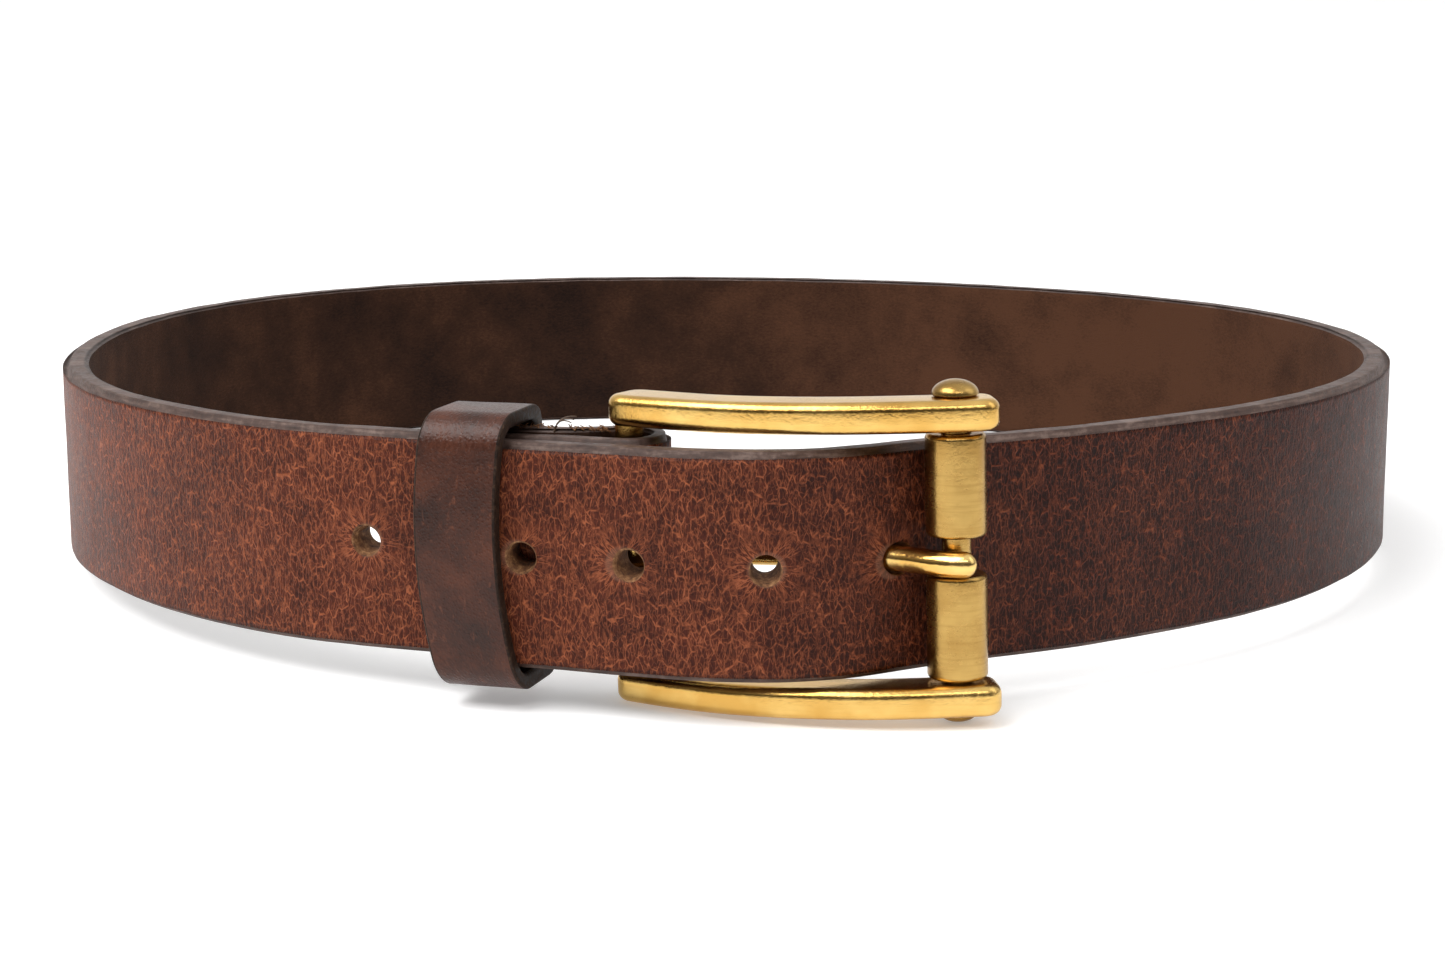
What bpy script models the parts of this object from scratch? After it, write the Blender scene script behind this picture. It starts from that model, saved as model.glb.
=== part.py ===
"""A leather belt, fastened in a loop, with a brass roller buckle.

One strap of thick leather is folded round the buckle's heel bar and sewn back on itself. The same
strap runs round the waist and comes back through the buckle: behind the front bar, over the fold, and
under a leather keeper. The buckle is a casting of two arms and a heel bar. Its front bar is a pin,
peened below the lower arm, and it carries two rollers with the prong resting between them.

Lengths are in millimetres here and are turned to metres where a mesh is made. X runs along the
buckle, Y from the buckle to the back of the loop, and Z up. In the design frame the strap's lower
edge is at Z = 0 and the waist loop's middle is at X = Y = 0. The finished part's origin is under the
middle of its own box, at its lowest point.
"""

import math

import bmesh
import bpy
import numpy as np
from mathutils import Matrix, Vector

MM = 0.001

# The part's origin, in the design frame.
ORIGIN = Vector((2.4, -6.8, -7.9))

# Fits.
GAP = 0.3               # between pieces that touch on the real belt
ROUND_STEPS = 32        # sides of a turned piece

# The strap.
STRAP_WIDTH = 38.0
STRAP_THICK = 5.2
FOLD_THICK = 3.2        # skived, where it turns round the heel bar
FOLD_ROOM = 1.0         # between the heel bar and the fold
RETURN_THICK = 4.2
RETURN_END_THICK = 2.6
RETURN_LIFT = 0.7       # the return stands this much above the base
STRAP_EDGE = 0.9        # width of the bevel along its edges
STATION_STEP = 6.0      # distance between cross sections round the loop
MID_HEIGHT = STRAP_WIDTH / 2

# The grain side of the strap in plan, from the fold, round the waist, to the billet's end.
LOOP_LINE = [
    (-19.0, -138.3), (-25.0, -137.0), (-36.0, -134.3), (-52.7, -129.0), (-71.0, -121.0), (-91.0, -106.5),
    (-109.9, -85.6), (-122.0, -65.4), (-130.2, -44.0), (-135.2, -22.1), (-137.5, 0.0),
    (-136.2, 33.9), (-127.4, 68.3), (-108.1, 100.3), (-77.6, 124.8), (-39.7, 137.6),
    (0.0, 138.5), (37.5, 130.0), (71.3, 114.7), (100.4, 93.2), (123.1, 66.0),
    (137.4, 34.2), (142.5, 0.0), (141.0, -23.1), (135.6, -45.8), (126.3, -67.7),
    (113.1, -88.1), (96.0, -106.2), (76.0, -121.0), (59.0, -131.5), (40.3, -140.2),
    (31.0, -145.6), (22.7, -150.1), (14.6, -152.3), (6.5, -152.7), (-1.6, -151.5),
    (-11.3, -148.9), (-24.6, -143.9), (-36.0, -140.25), (-47.0, -136.8),
]
BILLET_END_LENGTH = 11.0
BILLET_END_WIDTH = 12.0
BILLET_END_STEP = 1.4
RETURN_END_X = -47.0
RETURN_STEP = 2.5
SKIVE_SPAN = (15.0, 27.0)       # distances left of the middle where the base thins to the fold
FRONT_Y = -100.0        # the strap's front stretch has a smaller Y
FOLD_FIRST_ANGLE = math.radians(102.0)
FOLD_STEPS = 14
RETURN_START_X = -24.0   # where the return leaves the base to go round the fold
RETURN_TAPER = 14.0     # length over which the return's end is pared down

# Punched holes, by their X: three in the billet, and one in the base beyond the keeper.
HOLE_RADIUS = 2.65
BILLET_HOLES_X = [-31.0, -13.3, 9.2]
BASE_HOLE_X = -58.6

# The buckle, before its lean.
HEEL = Vector((-13.0, -132.6, MID_HEIGHT))
FRONT = Vector((40.3, -146.4, MID_HEIGHT))
LEAN = math.radians(-1.2)                       # about Y, so its top leans to the left
LEAN_PIVOT = Vector((14.0, 0.0, MID_HEIGHT))
BAR_RADIUS = 2.4
ARM_LINE = [(-12.2, -133.2), (0.0, -141.0), (9.5, -144.9), (19.0, -147.2), (30.2, -148.3), (43.9, -147.7)]
ARM_WIDTH = 9.4
ARM_HEIGHT = 5.3
ARM_END_RADIUS = 3.2
ARM_EDGE = 1.5
ARM_BOTTOMS = {"lower": -6.6, "upper": 40.5}    # height of each arm's underside

# The front bar and its rollers.
HEAD_RADIUS = 3.9
HEAD_HEIGHT = 2.5
TAIL_RADIUS = 3.0
TAIL_HEIGHT = 1.6
ROLLER_RADIUS = 5.0
ROLLERS = {"upper": (22.9, 39.8), "lower": (-0.9, 16.6)}

# The prong.
PRONG_RADIUS = 2.15
PRONG_EYE_RADIUS = 4.7
PRONG_EYE_HEIGHT = 4.8
PRONG_LINE = [(-13.0, -132.6), (2.0, -136.2), (16.0, -139.6), (27.0, -143.4), (33.5, -147.5),
              (38.0, -150.9), (41.0, -151.8)]
SLOT_HEIGHT = 7.5
SLOT_END_X = -22.0
SLOT_FRONT_X = -2.0
SLOT_OUTSIDE = -138.4   # Y of the slot cutter's two faces at its end; both slope with the strap
SLOT_INSIDE = -118.0
SLOT_SLOPE = 0.31
PRONG_HOLE_ROOM = 0.65  # round the prong, where it goes through the billet
PRONG_HOLE_SPAN = (19.0, 34.0)      # the X that the hole's cutter covers

# The keeper.
KEEPER_X = -39.6
KEEPER_LENGTH = 14.4
KEEPER_THICK = 2.7
KEEPER_ROOM = 0.45      # between the keeper and the layers it holds
KEEPER_BOTTOM = -1.3    # of its inside
KEEPER_TOP = 40.0
KEEPER_CORNER = 4.8     # radius of its corners, at the middle of the leather
KEEPER_BULGE = 0.8
KEEPER_TWIST = math.radians(3.0)
KEEPER_BOW = 1.5        # how far its top and foot lie to the right of its middle
KEEPER_EDGE = 0.5
KEEPER_TURN_RADIUS = 190.0      # of the arc it slides along
JOINT_SLIT = 0.6        # between the keeper's butted ends

# Wire staples across the keeper's joint.
STAPLE_RADIUS = 0.5
STAPLE_SPAN = 8.0
STAPLE_TOE = 2.2
STAPLE_OFFSET = 3.6     # from the keeper's middle, along the strap

# Rows of saddle stitching.
THREAD_RADIUS = 0.45
THREAD_DEPTH = 0.5      # of a stitch's middle below the leather's surface
STITCH_PITCH = 5.0
STITCHES = 6
THREAD_ROWS = {"near": -26.6, "far": -43.5}

LEATHER = ((0.150, 0.045, 0.024), 0.55, 0.0)
KEEPER_LEATHER = ((0.075, 0.032, 0.022), 0.45, 0.0)
BRASS = ((0.780, 0.530, 0.200), 0.28, 1.0)
WIRE = ((0.600, 0.520, 0.400), 0.35, 1.0)
LINEN = ((0.230, 0.120, 0.060), 0.80, 0.0)


def clear_scene():
    """Remove every object that is in the file."""
    for obj in list(bpy.data.objects):
        bpy.data.objects.remove(obj)


def new_collection(name):
    collection = bpy.data.collections.new(name)
    bpy.context.scene.collection.children.link(collection)
    return collection


def new_material(name, finish):
    """A Principled BSDF from ((red, green, blue), roughness, metallic)."""
    color, roughness, metallic = finish
    material = bpy.data.materials.new(name)
    material.use_nodes = True
    shader = material.node_tree.nodes["Principled BSDF"]
    shader.inputs["Base Color"].default_value = (*color, 1.0)
    shader.inputs["Roughness"].default_value = roughness
    shader.inputs["Metallic"].default_value = metallic
    material.diffuse_color = (*color, 1.0)
    return material


def natural_spline(points, step, last_step=None):
    """Points about every step along a natural cubic through the given points.

    The stretch before the last point may have a step of its own.
    """
    knots = np.array(points, float)
    spans = np.hypot(*np.diff(knots, axis=0).T)
    count = len(knots)
    system = np.eye(count)
    target = np.zeros_like(knots)
    for i in range(1, count - 1):
        system[i, i - 1:i + 2] = spans[i - 1], 2 * (spans[i - 1] + spans[i]), spans[i]
        rise = (knots[i + 1] - knots[i]) / spans[i]
        target[i] = 6 * (rise - (knots[i] - knots[i - 1]) / spans[i - 1])
    bend = np.linalg.solve(system, target)
    line = []
    for i, span in enumerate(spans):
        spacing = last_step if last_step and i == count - 2 else step
        pieces = max(1, round(span / spacing))
        for j in range(pieces):
            b = j / pieces
            a = 1 - b
            curve = (a ** 3 - a) * bend[i] + (b ** 3 - b) * bend[i + 1]
            line.append(a * knots[i] + b * knots[i + 1] + curve * span ** 2 / 6)
    line.append(knots[-1])
    return np.array(line)


def left_normals(line):
    """Unit normals to the left of travel along a plan line."""
    along = np.gradient(line, axis=0)
    along /= np.hypot(*along.T)[:, None]
    return np.column_stack([-along[:, 1], along[:, 0]])


def station_at(line, x, low_end):
    """Index of the front station nearest to x: on the base if low_end, or else on the billet."""
    half = len(line) // 2
    part = range(half) if low_end else range(half, len(line))
    front = [i for i in part if line[i][1] < 0]
    return min(front, key=lambda i: abs(line[i][0] - x))


def on_line(line, x, low_end):
    """The point at x on the front of a plan line, and its outward normal, as vectors."""
    i = station_at(line, x, low_end)
    j = i + 1 if (line[i + 1][0] - x) * (line[i][0] - x) <= 0 else i - 1
    share = (x - line[i][0]) / (line[j][0] - line[i][0])
    point = line[i] + share * (line[j] - line[i])
    normal = left_normals(line)[i]
    return Vector((*point, 0.0)), Vector((*normal, 0.0))


def loop_points():
    """The strap's grain side in plan, from the end of the fold to the billet's end."""
    away = Vector(LOOP_LINE[0]) - HEEL.xy
    radius = BAR_RADIUS + FOLD_ROOM + FOLD_THICK
    angle = math.atan2(away.y, away.x) + math.acos(radius / away.length)
    start = HEEL.xy + radius * Vector((math.cos(angle), math.sin(angle)))
    return natural_spline([tuple(start), *LOOP_LINE], STATION_STEP, BILLET_END_STEP)


def smooth_share(value, low, high):
    """0 below low, 1 above high, and an even change between."""
    share = min(1.0, max(0.0, (value - low) / (high - low)))
    return share * share * (3 - 2 * share)


def return_thickness(x):
    """The return is pared down towards its end."""
    share = smooth_share(x, RETURN_END_X, RETURN_END_X + RETURN_TAPER)
    return RETURN_END_THICK + (RETURN_THICK - RETURN_END_THICK) * share


def strap_stations():
    """The strap's cross sections, in order: (x, y of its middle, thickness, bottom, top)."""
    line = loop_points()
    normals = left_normals(line)
    base = []
    for (x, y), (nx, ny) in zip(line, normals):
        thick = STRAP_THICK
        if y < FRONT_Y and len(base) < len(line) // 2:
            thick = FOLD_THICK + (STRAP_THICK - FOLD_THICK) * smooth_share(-x, *SKIVE_SPAN)
        base.append((x - nx * thick / 2, y - ny * thick / 2, thick, 0.0, STRAP_WIDTH))

    # The billet's end narrows along an ellipse.
    end_x = base[-1][0]
    shaped = []
    for i, (x, y, thick, low, high) in enumerate(base):
        run = x - end_x
        if i > len(base) // 2 and y < 0 and run < BILLET_END_LENGTH:
            reach = 1 - run / BILLET_END_LENGTH
            half = BILLET_END_WIDTH / 2 + (STRAP_WIDTH - BILLET_END_WIDTH) / 2 * math.sqrt(1 - reach ** 2)
            low, high = MID_HEIGHT - half, MID_HEIGHT + half
        shaped.append((x, y, thick, low, high))

    # The fold, from the return's side round to the base's.
    middle_radius = BAR_RADIUS + FOLD_ROOM + FOLD_THICK / 2
    out = Vector((base[0][0] - HEEL.x, base[0][1] - HEEL.y))
    last = math.atan2(out.y, out.x)
    fold = []
    for i in range(FOLD_STEPS):
        angle = FOLD_FIRST_ANGLE + (last - FOLD_FIRST_ANGLE) * i / FOLD_STEPS
        lift = RETURN_LIFT * (1 - i / FOLD_STEPS)
        x = HEEL.x + middle_radius * math.cos(angle)
        y = HEEL.y + middle_radius * math.sin(angle)
        fold.append((x, y, FOLD_THICK, lift, STRAP_WIDTH + lift))

    # The return lies along the inside of the base.
    end = fold[0]
    back = []
    for i, ((x, y), (nx, ny)) in enumerate(zip(line, normals)):
        if i > len(line) // 2 or y > 0 or not RETURN_END_X < x < RETURN_START_X:
            continue
        thick = return_thickness(x)
        depth = STRAP_THICK + GAP + thick / 2
        back.append((x - nx * depth, y - ny * depth, thick))
    back.reverse()
    places = [x for x, y, thick in back]
    thicknesses = [thick for x, y, thick in back]
    joined = natural_spline([(x, y) for x, y, thick in back] + [end[:2]], RETURN_STEP)[:-1]
    result = []
    for x, y in joined:
        thick = float(np.interp(x, places, thicknesses))
        share = smooth_share(x, places[-1], end[0])
        thick += (FOLD_THICK - thick) * share
        result.append((float(x), float(y), thick, RETURN_LIFT, STRAP_WIDTH + RETURN_LIFT))
    return result + fold + shaped


def lean_about_pivot(point):
    """Where the buckle's lean takes a point of the design frame."""
    return LEAN_PIVOT + Matrix.Rotation(LEAN, 3, "Y") @ (point - LEAN_PIVOT)


class Datum:
    """An empty on a joint's axis, and the point of the design frame that it stands for."""

    def __init__(self, name, point, leans=False):
        self.point = Vector(point)
        self.empty = bpy.data.objects.new(name, None)
        self.empty.empty_display_size = 10 * MM
        spot = lean_about_pivot(self.point) if leans else self.point
        self.empty.location = (spot - ORIGIN) * MM
        self.empty.rotation_euler = (0.0, LEAN if leans else 0.0, 0.0)
        PIECES.objects.link(self.empty)


def add_mesh(name, bm, datum, collection):
    """An object from a bmesh in design millimetres, placed under its datum."""
    bmesh.ops.recalc_face_normals(bm, faces=bm.faces)
    for vert in bm.verts:
        vert.co = (vert.co - datum.point) * MM
    mesh = bpy.data.meshes.new(name)
    bm.to_mesh(mesh)
    bm.free()
    obj = bpy.data.objects.new(name, mesh)
    obj.parent = datum.empty
    collection.objects.link(obj)
    return obj


def add_piece(name, bm, datum, finish):
    obj = add_mesh(name, bm, datum, PIECES)
    obj.data.materials.append(new_material(name, finish))
    obj.data.shade_smooth()
    obj.data.set_sharp_from_angle(angle=math.radians(35.0))
    return obj


def add_cutter(name, bm, datum):
    obj = add_mesh(name, bm, datum, CUTTERS)
    obj.hide_render = True
    obj.display_type = "WIRE"
    return obj


def boolean(obj, other, operation):
    modifier = obj.modifiers.new(f"{operation.lower()} {other.name}", "BOOLEAN")
    modifier.operation = operation
    modifier.object = other
    modifier.solver = "EXACT"


def bevel(obj, width, segments, angle=50.0):
    modifier = obj.modifiers.new("Edges", "BEVEL")
    modifier.width = width * MM
    modifier.segments = segments
    modifier.limit_method = "ANGLE"
    modifier.angle_limit = math.radians(angle)


def ribbon(rows, closed=False):
    """An open surface from rows of points, joined one row to the next."""
    bm = bmesh.new()
    grid = [[bm.verts.new(point) for point in row] for row in rows]
    pairs = zip(grid, grid[1:] + grid[:1]) if closed else zip(grid, grid[1:])
    for row, after in pairs:
        for a, b, c, d in zip(row, row[1:], after[1:], after):
            bm.faces.new((a, b, c, d))
    return bm


def solidify(obj, thickness, weights=None):
    """Thicken an open surface evenly about itself; weights are shares of the thickness."""
    modifier = obj.modifiers.new("Leather", "SOLIDIFY")
    modifier.thickness = thickness * MM
    modifier.offset = 0.0
    if weights:
        group = obj.vertex_groups.new(name="thickness")
        for index, weight in enumerate(weights):
            group.add([index], weight, "REPLACE")
        modifier.vertex_group = group.name


def add_rod(bm, start, end, radius, sides):
    """A closed cylinder between two points."""
    start, end = Vector(start), Vector(end)
    along = end - start
    turn = Vector((0.0, 0.0, 1.0)).rotation_difference(along)
    place = Matrix.Translation((start + end) / 2) @ turn.to_matrix().to_4x4()
    bmesh.ops.create_cone(bm, cap_ends=True, segments=sides, radius1=radius, radius2=radius,
                          depth=along.length, matrix=place)


def rod(start, end, radius, sides=ROUND_STEPS):
    bm = bmesh.new()
    add_rod(bm, start, end, radius, sides)
    return bm


def turned(name, profile, datum, finish, closed):
    """A turned piece from (radius, height) points that run down its outer side."""
    bm = bmesh.new()
    verts = [bm.verts.new(datum.point + Vector((radius, 0.0, height))) for radius, height in profile]
    for a, b in zip(verts, verts[1:]):
        bm.edges.new((a, b))
    if closed:
        bm.edges.new((verts[-1], verts[0]))
    obj = add_mesh(name, bm, datum, PIECES)
    obj.data.materials.append(new_material(name, finish))
    screw = obj.modifiers.new("Turning", "SCREW")
    screw.steps = ROUND_STEPS
    screw.render_steps = ROUND_STEPS
    screw.use_merge_vertices = True
    screw.merge_threshold = 0.00001
    screw.use_smooth_shade = True
    return obj


def tube_mesh(name, path, radii, resolution):
    """A closed tube along a path, its radius given at each point, as a bmesh."""
    curve = bpy.data.curves.new(name, "CURVE")
    curve.dimensions = "3D"
    curve.bevel_depth = 1.0
    curve.bevel_resolution = resolution
    curve.use_fill_caps = True
    spline = curve.splines.new("POLY")
    spline.points.add(len(path) - 1)
    for point, place, radius in zip(spline.points, path, radii):
        point.co = (*place, 1.0)
        point.radius = radius
    source = bpy.data.objects.new(name, curve)
    CUTTERS.objects.link(source)
    mesh = bpy.data.meshes.new_from_object(source.evaluated_get(bpy.context.evaluated_depsgraph_get()))
    bpy.data.objects.remove(source)
    bm = bmesh.new()
    bm.from_mesh(mesh)
    bpy.data.meshes.remove(mesh)
    bmesh.ops.remove_doubles(bm, verts=bm.verts, dist=0.0001)
    return bm


def thread_ladder(place, radius):
    """One row of saddle stitches: a rail on each face and a rung through each awl hole."""
    near, far = place
    low = MID_HEIGHT - STITCH_PITCH * STITCHES / 2
    heights = [low + STITCH_PITCH * i for i in range(STITCHES + 1)]
    rails = [(side + Vector((0, 0, heights[0] - 1.0)), side + Vector((0, 0, heights[-1] + 1.0)))
             for side in place]
    rungs = [(near + Vector((0, 0, z)), far + Vector((0, 0, z))) for z in heights]
    return [rod(start, end, radius, 8) for start, end in rails] + [
        rod(start, end, radius * 0.9, 8) for start, end in rungs]


def thread_place(x):
    """The two faces' thread lines in plan for a row at x."""
    line = loop_points()
    point, normal = on_line(line, x, low_end=True)
    stack = STRAP_THICK + GAP + return_thickness(x)
    return point - normal * THREAD_DEPTH, point - normal * (stack - THREAD_DEPTH)


def joined_rods(name, parts, datum, add_first):
    """Overlapping rods joined into one body; add_first adds the first of them."""
    first = add_first(name, parts[0])
    for i, part in enumerate(parts[1:]):
        boolean(first, add_cutter(f"{name} bar {i}", part, datum), "UNION")
    return first


def make_strap(datum, buckle_datum):
    """The strap, with its fold, billet end, punched holes, prong slot and stitch grooves."""
    stations = strap_stations()
    bm = ribbon([[(x, y, low), (x, y, high)] for x, y, thick, low, high in stations])
    strap = add_piece("strap", bm, datum, LEATHER)
    solidify(strap, STRAP_THICK, [t / STRAP_THICK for x, y, t, low, high in stations for end in "ab"])
    bevel(strap, STRAP_EDGE, 1)

    line = loop_points()
    holes = [(x, False) for x in BILLET_HOLES_X] + [(BASE_HOLE_X, True)]
    for i, (x, on_base) in enumerate(holes):
        point, normal = on_line(line, x, on_base)
        point.z = MID_HEIGHT
        punch = rod(point + normal * 2.0, point - normal * (STRAP_THICK + GAP - 0.1), HOLE_RADIUS, 20)
        boolean(strap, add_cutter(f"punch {i}", punch, datum), "DIFFERENCE")

    # The prong's slot, an oblong through the fold.
    radius = SLOT_HEIGHT / 2
    outline = [(SLOT_END_X + radius + radius * math.cos(a), MID_HEIGHT + radius * math.sin(a))
               for a in np.radians(np.linspace(90.0, 270.0, 9))]
    outline += [(SLOT_FRONT_X, MID_HEIGHT - radius), (SLOT_FRONT_X, MID_HEIGHT + radius)]
    bm = bmesh.new()
    for slope_end in (SLOT_OUTSIDE, SLOT_INSIDE):
        for x, z in outline:
            bm.verts.new((x, slope_end - (x - SLOT_END_X) * SLOT_SLOPE, z))
    bm.verts.ensure_lookup_table()
    count = len(outline)
    bm.faces.new(bm.verts[:count])
    bm.faces.new(bm.verts[count:])
    for i in range(count):
        j = (i + 1) % count
        bm.faces.new([bm.verts[k] for k in (i, j, j + count, i + count)])
    boolean(strap, add_cutter("slot", bm, datum), "DIFFERENCE")

    # The hole that the prong goes through, along the prong's own line.
    path = [point for point in prong_path() if PRONG_HOLE_SPAN[0] < point.x < PRONG_HOLE_SPAN[1]]
    bm = tube_mesh("prong hole", path, [PRONG_RADIUS + PRONG_HOLE_ROOM] * len(path), 3)
    boolean(strap, add_cutter("prong hole", bm, buckle_datum), "DIFFERENCE")

    # Grooves and awl holes for the stitching.
    for row, x in THREAD_ROWS.items():
        parts = thread_ladder(thread_place(x), THREAD_RADIUS + GAP)
        groove = joined_rods(f"groove {row}", parts, datum, lambda name, bm: add_cutter(name, bm, datum))
        boolean(strap, groove, "DIFFERENCE")


def make_threads(datum):
    for row, x in THREAD_ROWS.items():
        parts = thread_ladder(thread_place(x), THREAD_RADIUS)
        joined_rods(f"thread_row_{row}", parts, datum,
                    lambda name, bm: add_piece(name, bm, datum, LINEN))


def arm_outline():
    """An arm in plan: a bent bar with rounded square ends."""
    line = natural_spline(ARM_LINE, 3.0)
    normals = left_normals(line)
    half = ARM_WIDTH / 2
    corner = ARM_END_RADIUS
    outline = []
    for end, sign in ((-1, 1), (0, -1)):
        along = Vector((normals[end][1], -normals[end][0])) * sign
        across = Vector(normals[end]) * sign
        middle = Vector(line[end])
        side = line if sign == 1 else line[::-1]
        flank = normals if sign == 1 else -normals[::-1]
        outline += [tuple(p + n * half) for p, n in zip(side, flank)][1:-1]
        for turn, shift in ((0, half - corner), (1, corner - half)):
            centre = middle + across * shift
            for a in np.radians(np.linspace(0.0, 90.0, 5) + 90.0 * turn):
                outline.append(tuple(centre + corner * (across * math.cos(a) + along * math.sin(a))))
    return outline


def make_frame(datum, front_datum):
    """The casting: a lower and an upper arm with the heel bar between, bored for the front bar."""
    arms = []
    for name, bottom in ARM_BOTTOMS.items():
        bm = bmesh.new()
        face = bm.faces.new([bm.verts.new((x, y, bottom)) for x, y in arm_outline()])
        lifted = bmesh.ops.extrude_face_region(bm, geom=[face])["geom"]
        for vert in (item for item in lifted if isinstance(item, bmesh.types.BMVert)):
            vert.co.z += ARM_HEIGHT
        if arms:
            arm = add_cutter(f"{name} arm", bm, datum)
        else:
            arm = add_piece("buckle_frame", bm, datum, BRASS)
        bevel(arm, ARM_EDGE, 3)
        arms.append(arm)
    frame, upper = arms
    boolean(frame, upper, "UNION")
    foot = HEEL + Vector((0, 0, ARM_BOTTOMS["lower"] + ARM_HEIGHT - 1 - HEEL.z))
    top = HEEL + Vector((0, 0, ARM_BOTTOMS["upper"] + 1 - HEEL.z))
    boolean(frame, add_cutter("heel bar", rod(foot, top, BAR_RADIUS), datum), "UNION")
    up = Vector((0, 0, 40))
    bore = rod(FRONT - up, FRONT + up, BAR_RADIUS + GAP)
    boolean(frame, add_cutter("front bar bore", bore, front_datum), "DIFFERENCE")


def make_front_bar(datum):
    """The pin: a domed head on the upper arm, a shaft, and a peened tail under the lower arm."""
    seat = ARM_BOTTOMS["upper"] + ARM_HEIGHT + GAP - MID_HEIGHT
    foot = ARM_BOTTOMS["lower"] - GAP - MID_HEIGHT
    dome = [(HEAD_RADIUS * math.sin(a), seat + 0.5 + (HEAD_HEIGHT - 0.5) * math.cos(a))
            for a in np.radians(np.linspace(0.0, 90.0, 7))]
    tail = [(TAIL_RADIUS * math.cos(a), foot - 0.3 - (TAIL_HEIGHT - 0.3) * math.sin(a))
            for a in np.radians(np.linspace(0.0, 90.0, 5))]
    profile = dome + [(HEAD_RADIUS - 0.2, seat), (BAR_RADIUS, seat), (BAR_RADIUS, foot),
                      (TAIL_RADIUS - 0.2, foot)] + tail
    turned("front_bar", profile, datum, BRASS, closed=False)


def make_rollers(datum):
    edge = 0.6
    inner = BAR_RADIUS + GAP
    for name, (low, high) in ROLLERS.items():
        low, high = low - MID_HEIGHT, high - MID_HEIGHT
        profile = [(inner, high), (ROLLER_RADIUS - edge, high),
                   (ROLLER_RADIUS - edge * 0.3, high - edge * 0.3),
                   (ROLLER_RADIUS, high - edge), (ROLLER_RADIUS, low + edge),
                   (ROLLER_RADIUS - edge * 0.3, low + edge * 0.3), (ROLLER_RADIUS - edge, low), (inner, low)]
        turned(f"roller_{name}", profile, datum, BRASS, closed=True)


def prong_path():
    """The prong's middle line, from the heel bar to its tip."""
    return [Vector((x, y, MID_HEIGHT)) for x, y in natural_spline(PRONG_LINE, 3.0)]


def make_prong(datum):
    """The prong: an eye round the heel bar and a bent rod with a round tip."""
    path = prong_path()
    root = (path[1] - path[0]).normalized() * (BAR_RADIUS + PRONG_EYE_RADIUS) / 2
    path = [HEEL + root] + [point for point in path if (point - HEEL).length > PRONG_EYE_RADIUS]
    radii = [PRONG_RADIUS] * len(path)
    end = path[-1]
    along = (end - path[-2]).normalized()
    for a in np.radians([30.0, 55.0, 75.0]):
        path.append(end + along * PRONG_RADIUS * math.sin(a))
        radii.append(PRONG_RADIUS * math.cos(a))
    bm = tube_mesh("prong rod", path, radii, 4)
    shank = add_cutter("prong rod", bm, datum)
    half = Vector((0, 0, PRONG_EYE_HEIGHT / 2))
    prong = add_piece("prong", rod(HEEL - half, HEEL + half, PRONG_EYE_RADIUS), datum, BRASS)
    bevel(prong, 0.8, 2)
    boolean(prong, shank, "UNION")
    bore = rod(HEEL - 3 * half, HEEL + 3 * half, BAR_RADIUS + GAP)
    boolean(prong, add_cutter("prong bore", bore, datum), "DIFFERENCE")


def keeper_frame():
    """The base's grain side under the keeper: a point, the outward normal and the way to the right."""
    point, normal = on_line(loop_points(), KEEPER_X, low_end=True)
    return point, normal, Vector((-normal.y, normal.x, 0.0))


def keeper_ring():
    """The keeper's middle line as (outward, height), from one butted end round to the other."""
    front = GAP + 0.15 + STRAP_THICK + KEEPER_ROOM + KEEPER_THICK / 2
    back = -(STRAP_THICK + GAP + RETURN_THICK + KEEPER_ROOM + KEEPER_THICK / 2)
    low = KEEPER_BOTTOM - KEEPER_THICK / 2
    high = KEEPER_TOP + KEEPER_THICK / 2
    corner = KEEPER_CORNER
    slit = JOINT_SLIT / 2
    ring = [(back, MID_HEIGHT + slit), (back, MID_HEIGHT + STAPLE_SPAN)]
    for n, z, first in ((back + corner, high - corner, 180.0), (front - corner, high - corner, 90.0)):
        ring += [(n + corner * math.cos(a), z + corner * math.sin(a))
                 for a in np.radians(np.linspace(first, first - 90.0, 5))]
    reach = (high - low) / 2 - corner
    middle = (high + low) / 2
    for share in np.linspace(0.0, 1.0, 9)[1:-1]:
        z = middle + reach * (1 - 2 * share)
        ring.append((front + KEEPER_BULGE * (1 - (1 - 2 * share) ** 2), z))
    for n, z, first in ((front - corner, low + corner, 0.0), (back + corner, low + corner, -90.0)):
        ring += [(n + corner * math.cos(a), z + corner * math.sin(a))
                 for a in np.radians(np.linspace(first, first - 90.0, 5))]
    ring += [(back, MID_HEIGHT - STAPLE_SPAN), (back, MID_HEIGHT - slit)]
    return ring, back


def keeper_point(outward, along, height):
    """A design-frame point in the keeper, whose foot is twisted a little to the right."""
    point, normal, right = keeper_frame()
    rise = height - MID_HEIGHT
    shift = along - rise * math.tan(KEEPER_TWIST) + KEEPER_BOW * (rise / MID_HEIGHT) ** 2
    return point + normal * outward + right * shift + Vector((0, 0, height))


def staple_path(along, back):
    """A staple's wire: its crown on the keeper's back, two legs, and toes turned inward."""
    out = back - KEEPER_THICK / 2 + 0.2
    inside = back + KEEPER_THICK / 2 - STAPLE_RADIUS - 0.15
    half = STAPLE_SPAN / 2
    corners = [(inside, half - STAPLE_TOE), (inside, half), (out, half),
               (out, -half), (inside, -half), (inside, STAPLE_TOE - half)]
    return [keeper_point(n, along, MID_HEIGHT + z) for n, z in corners]


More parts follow.
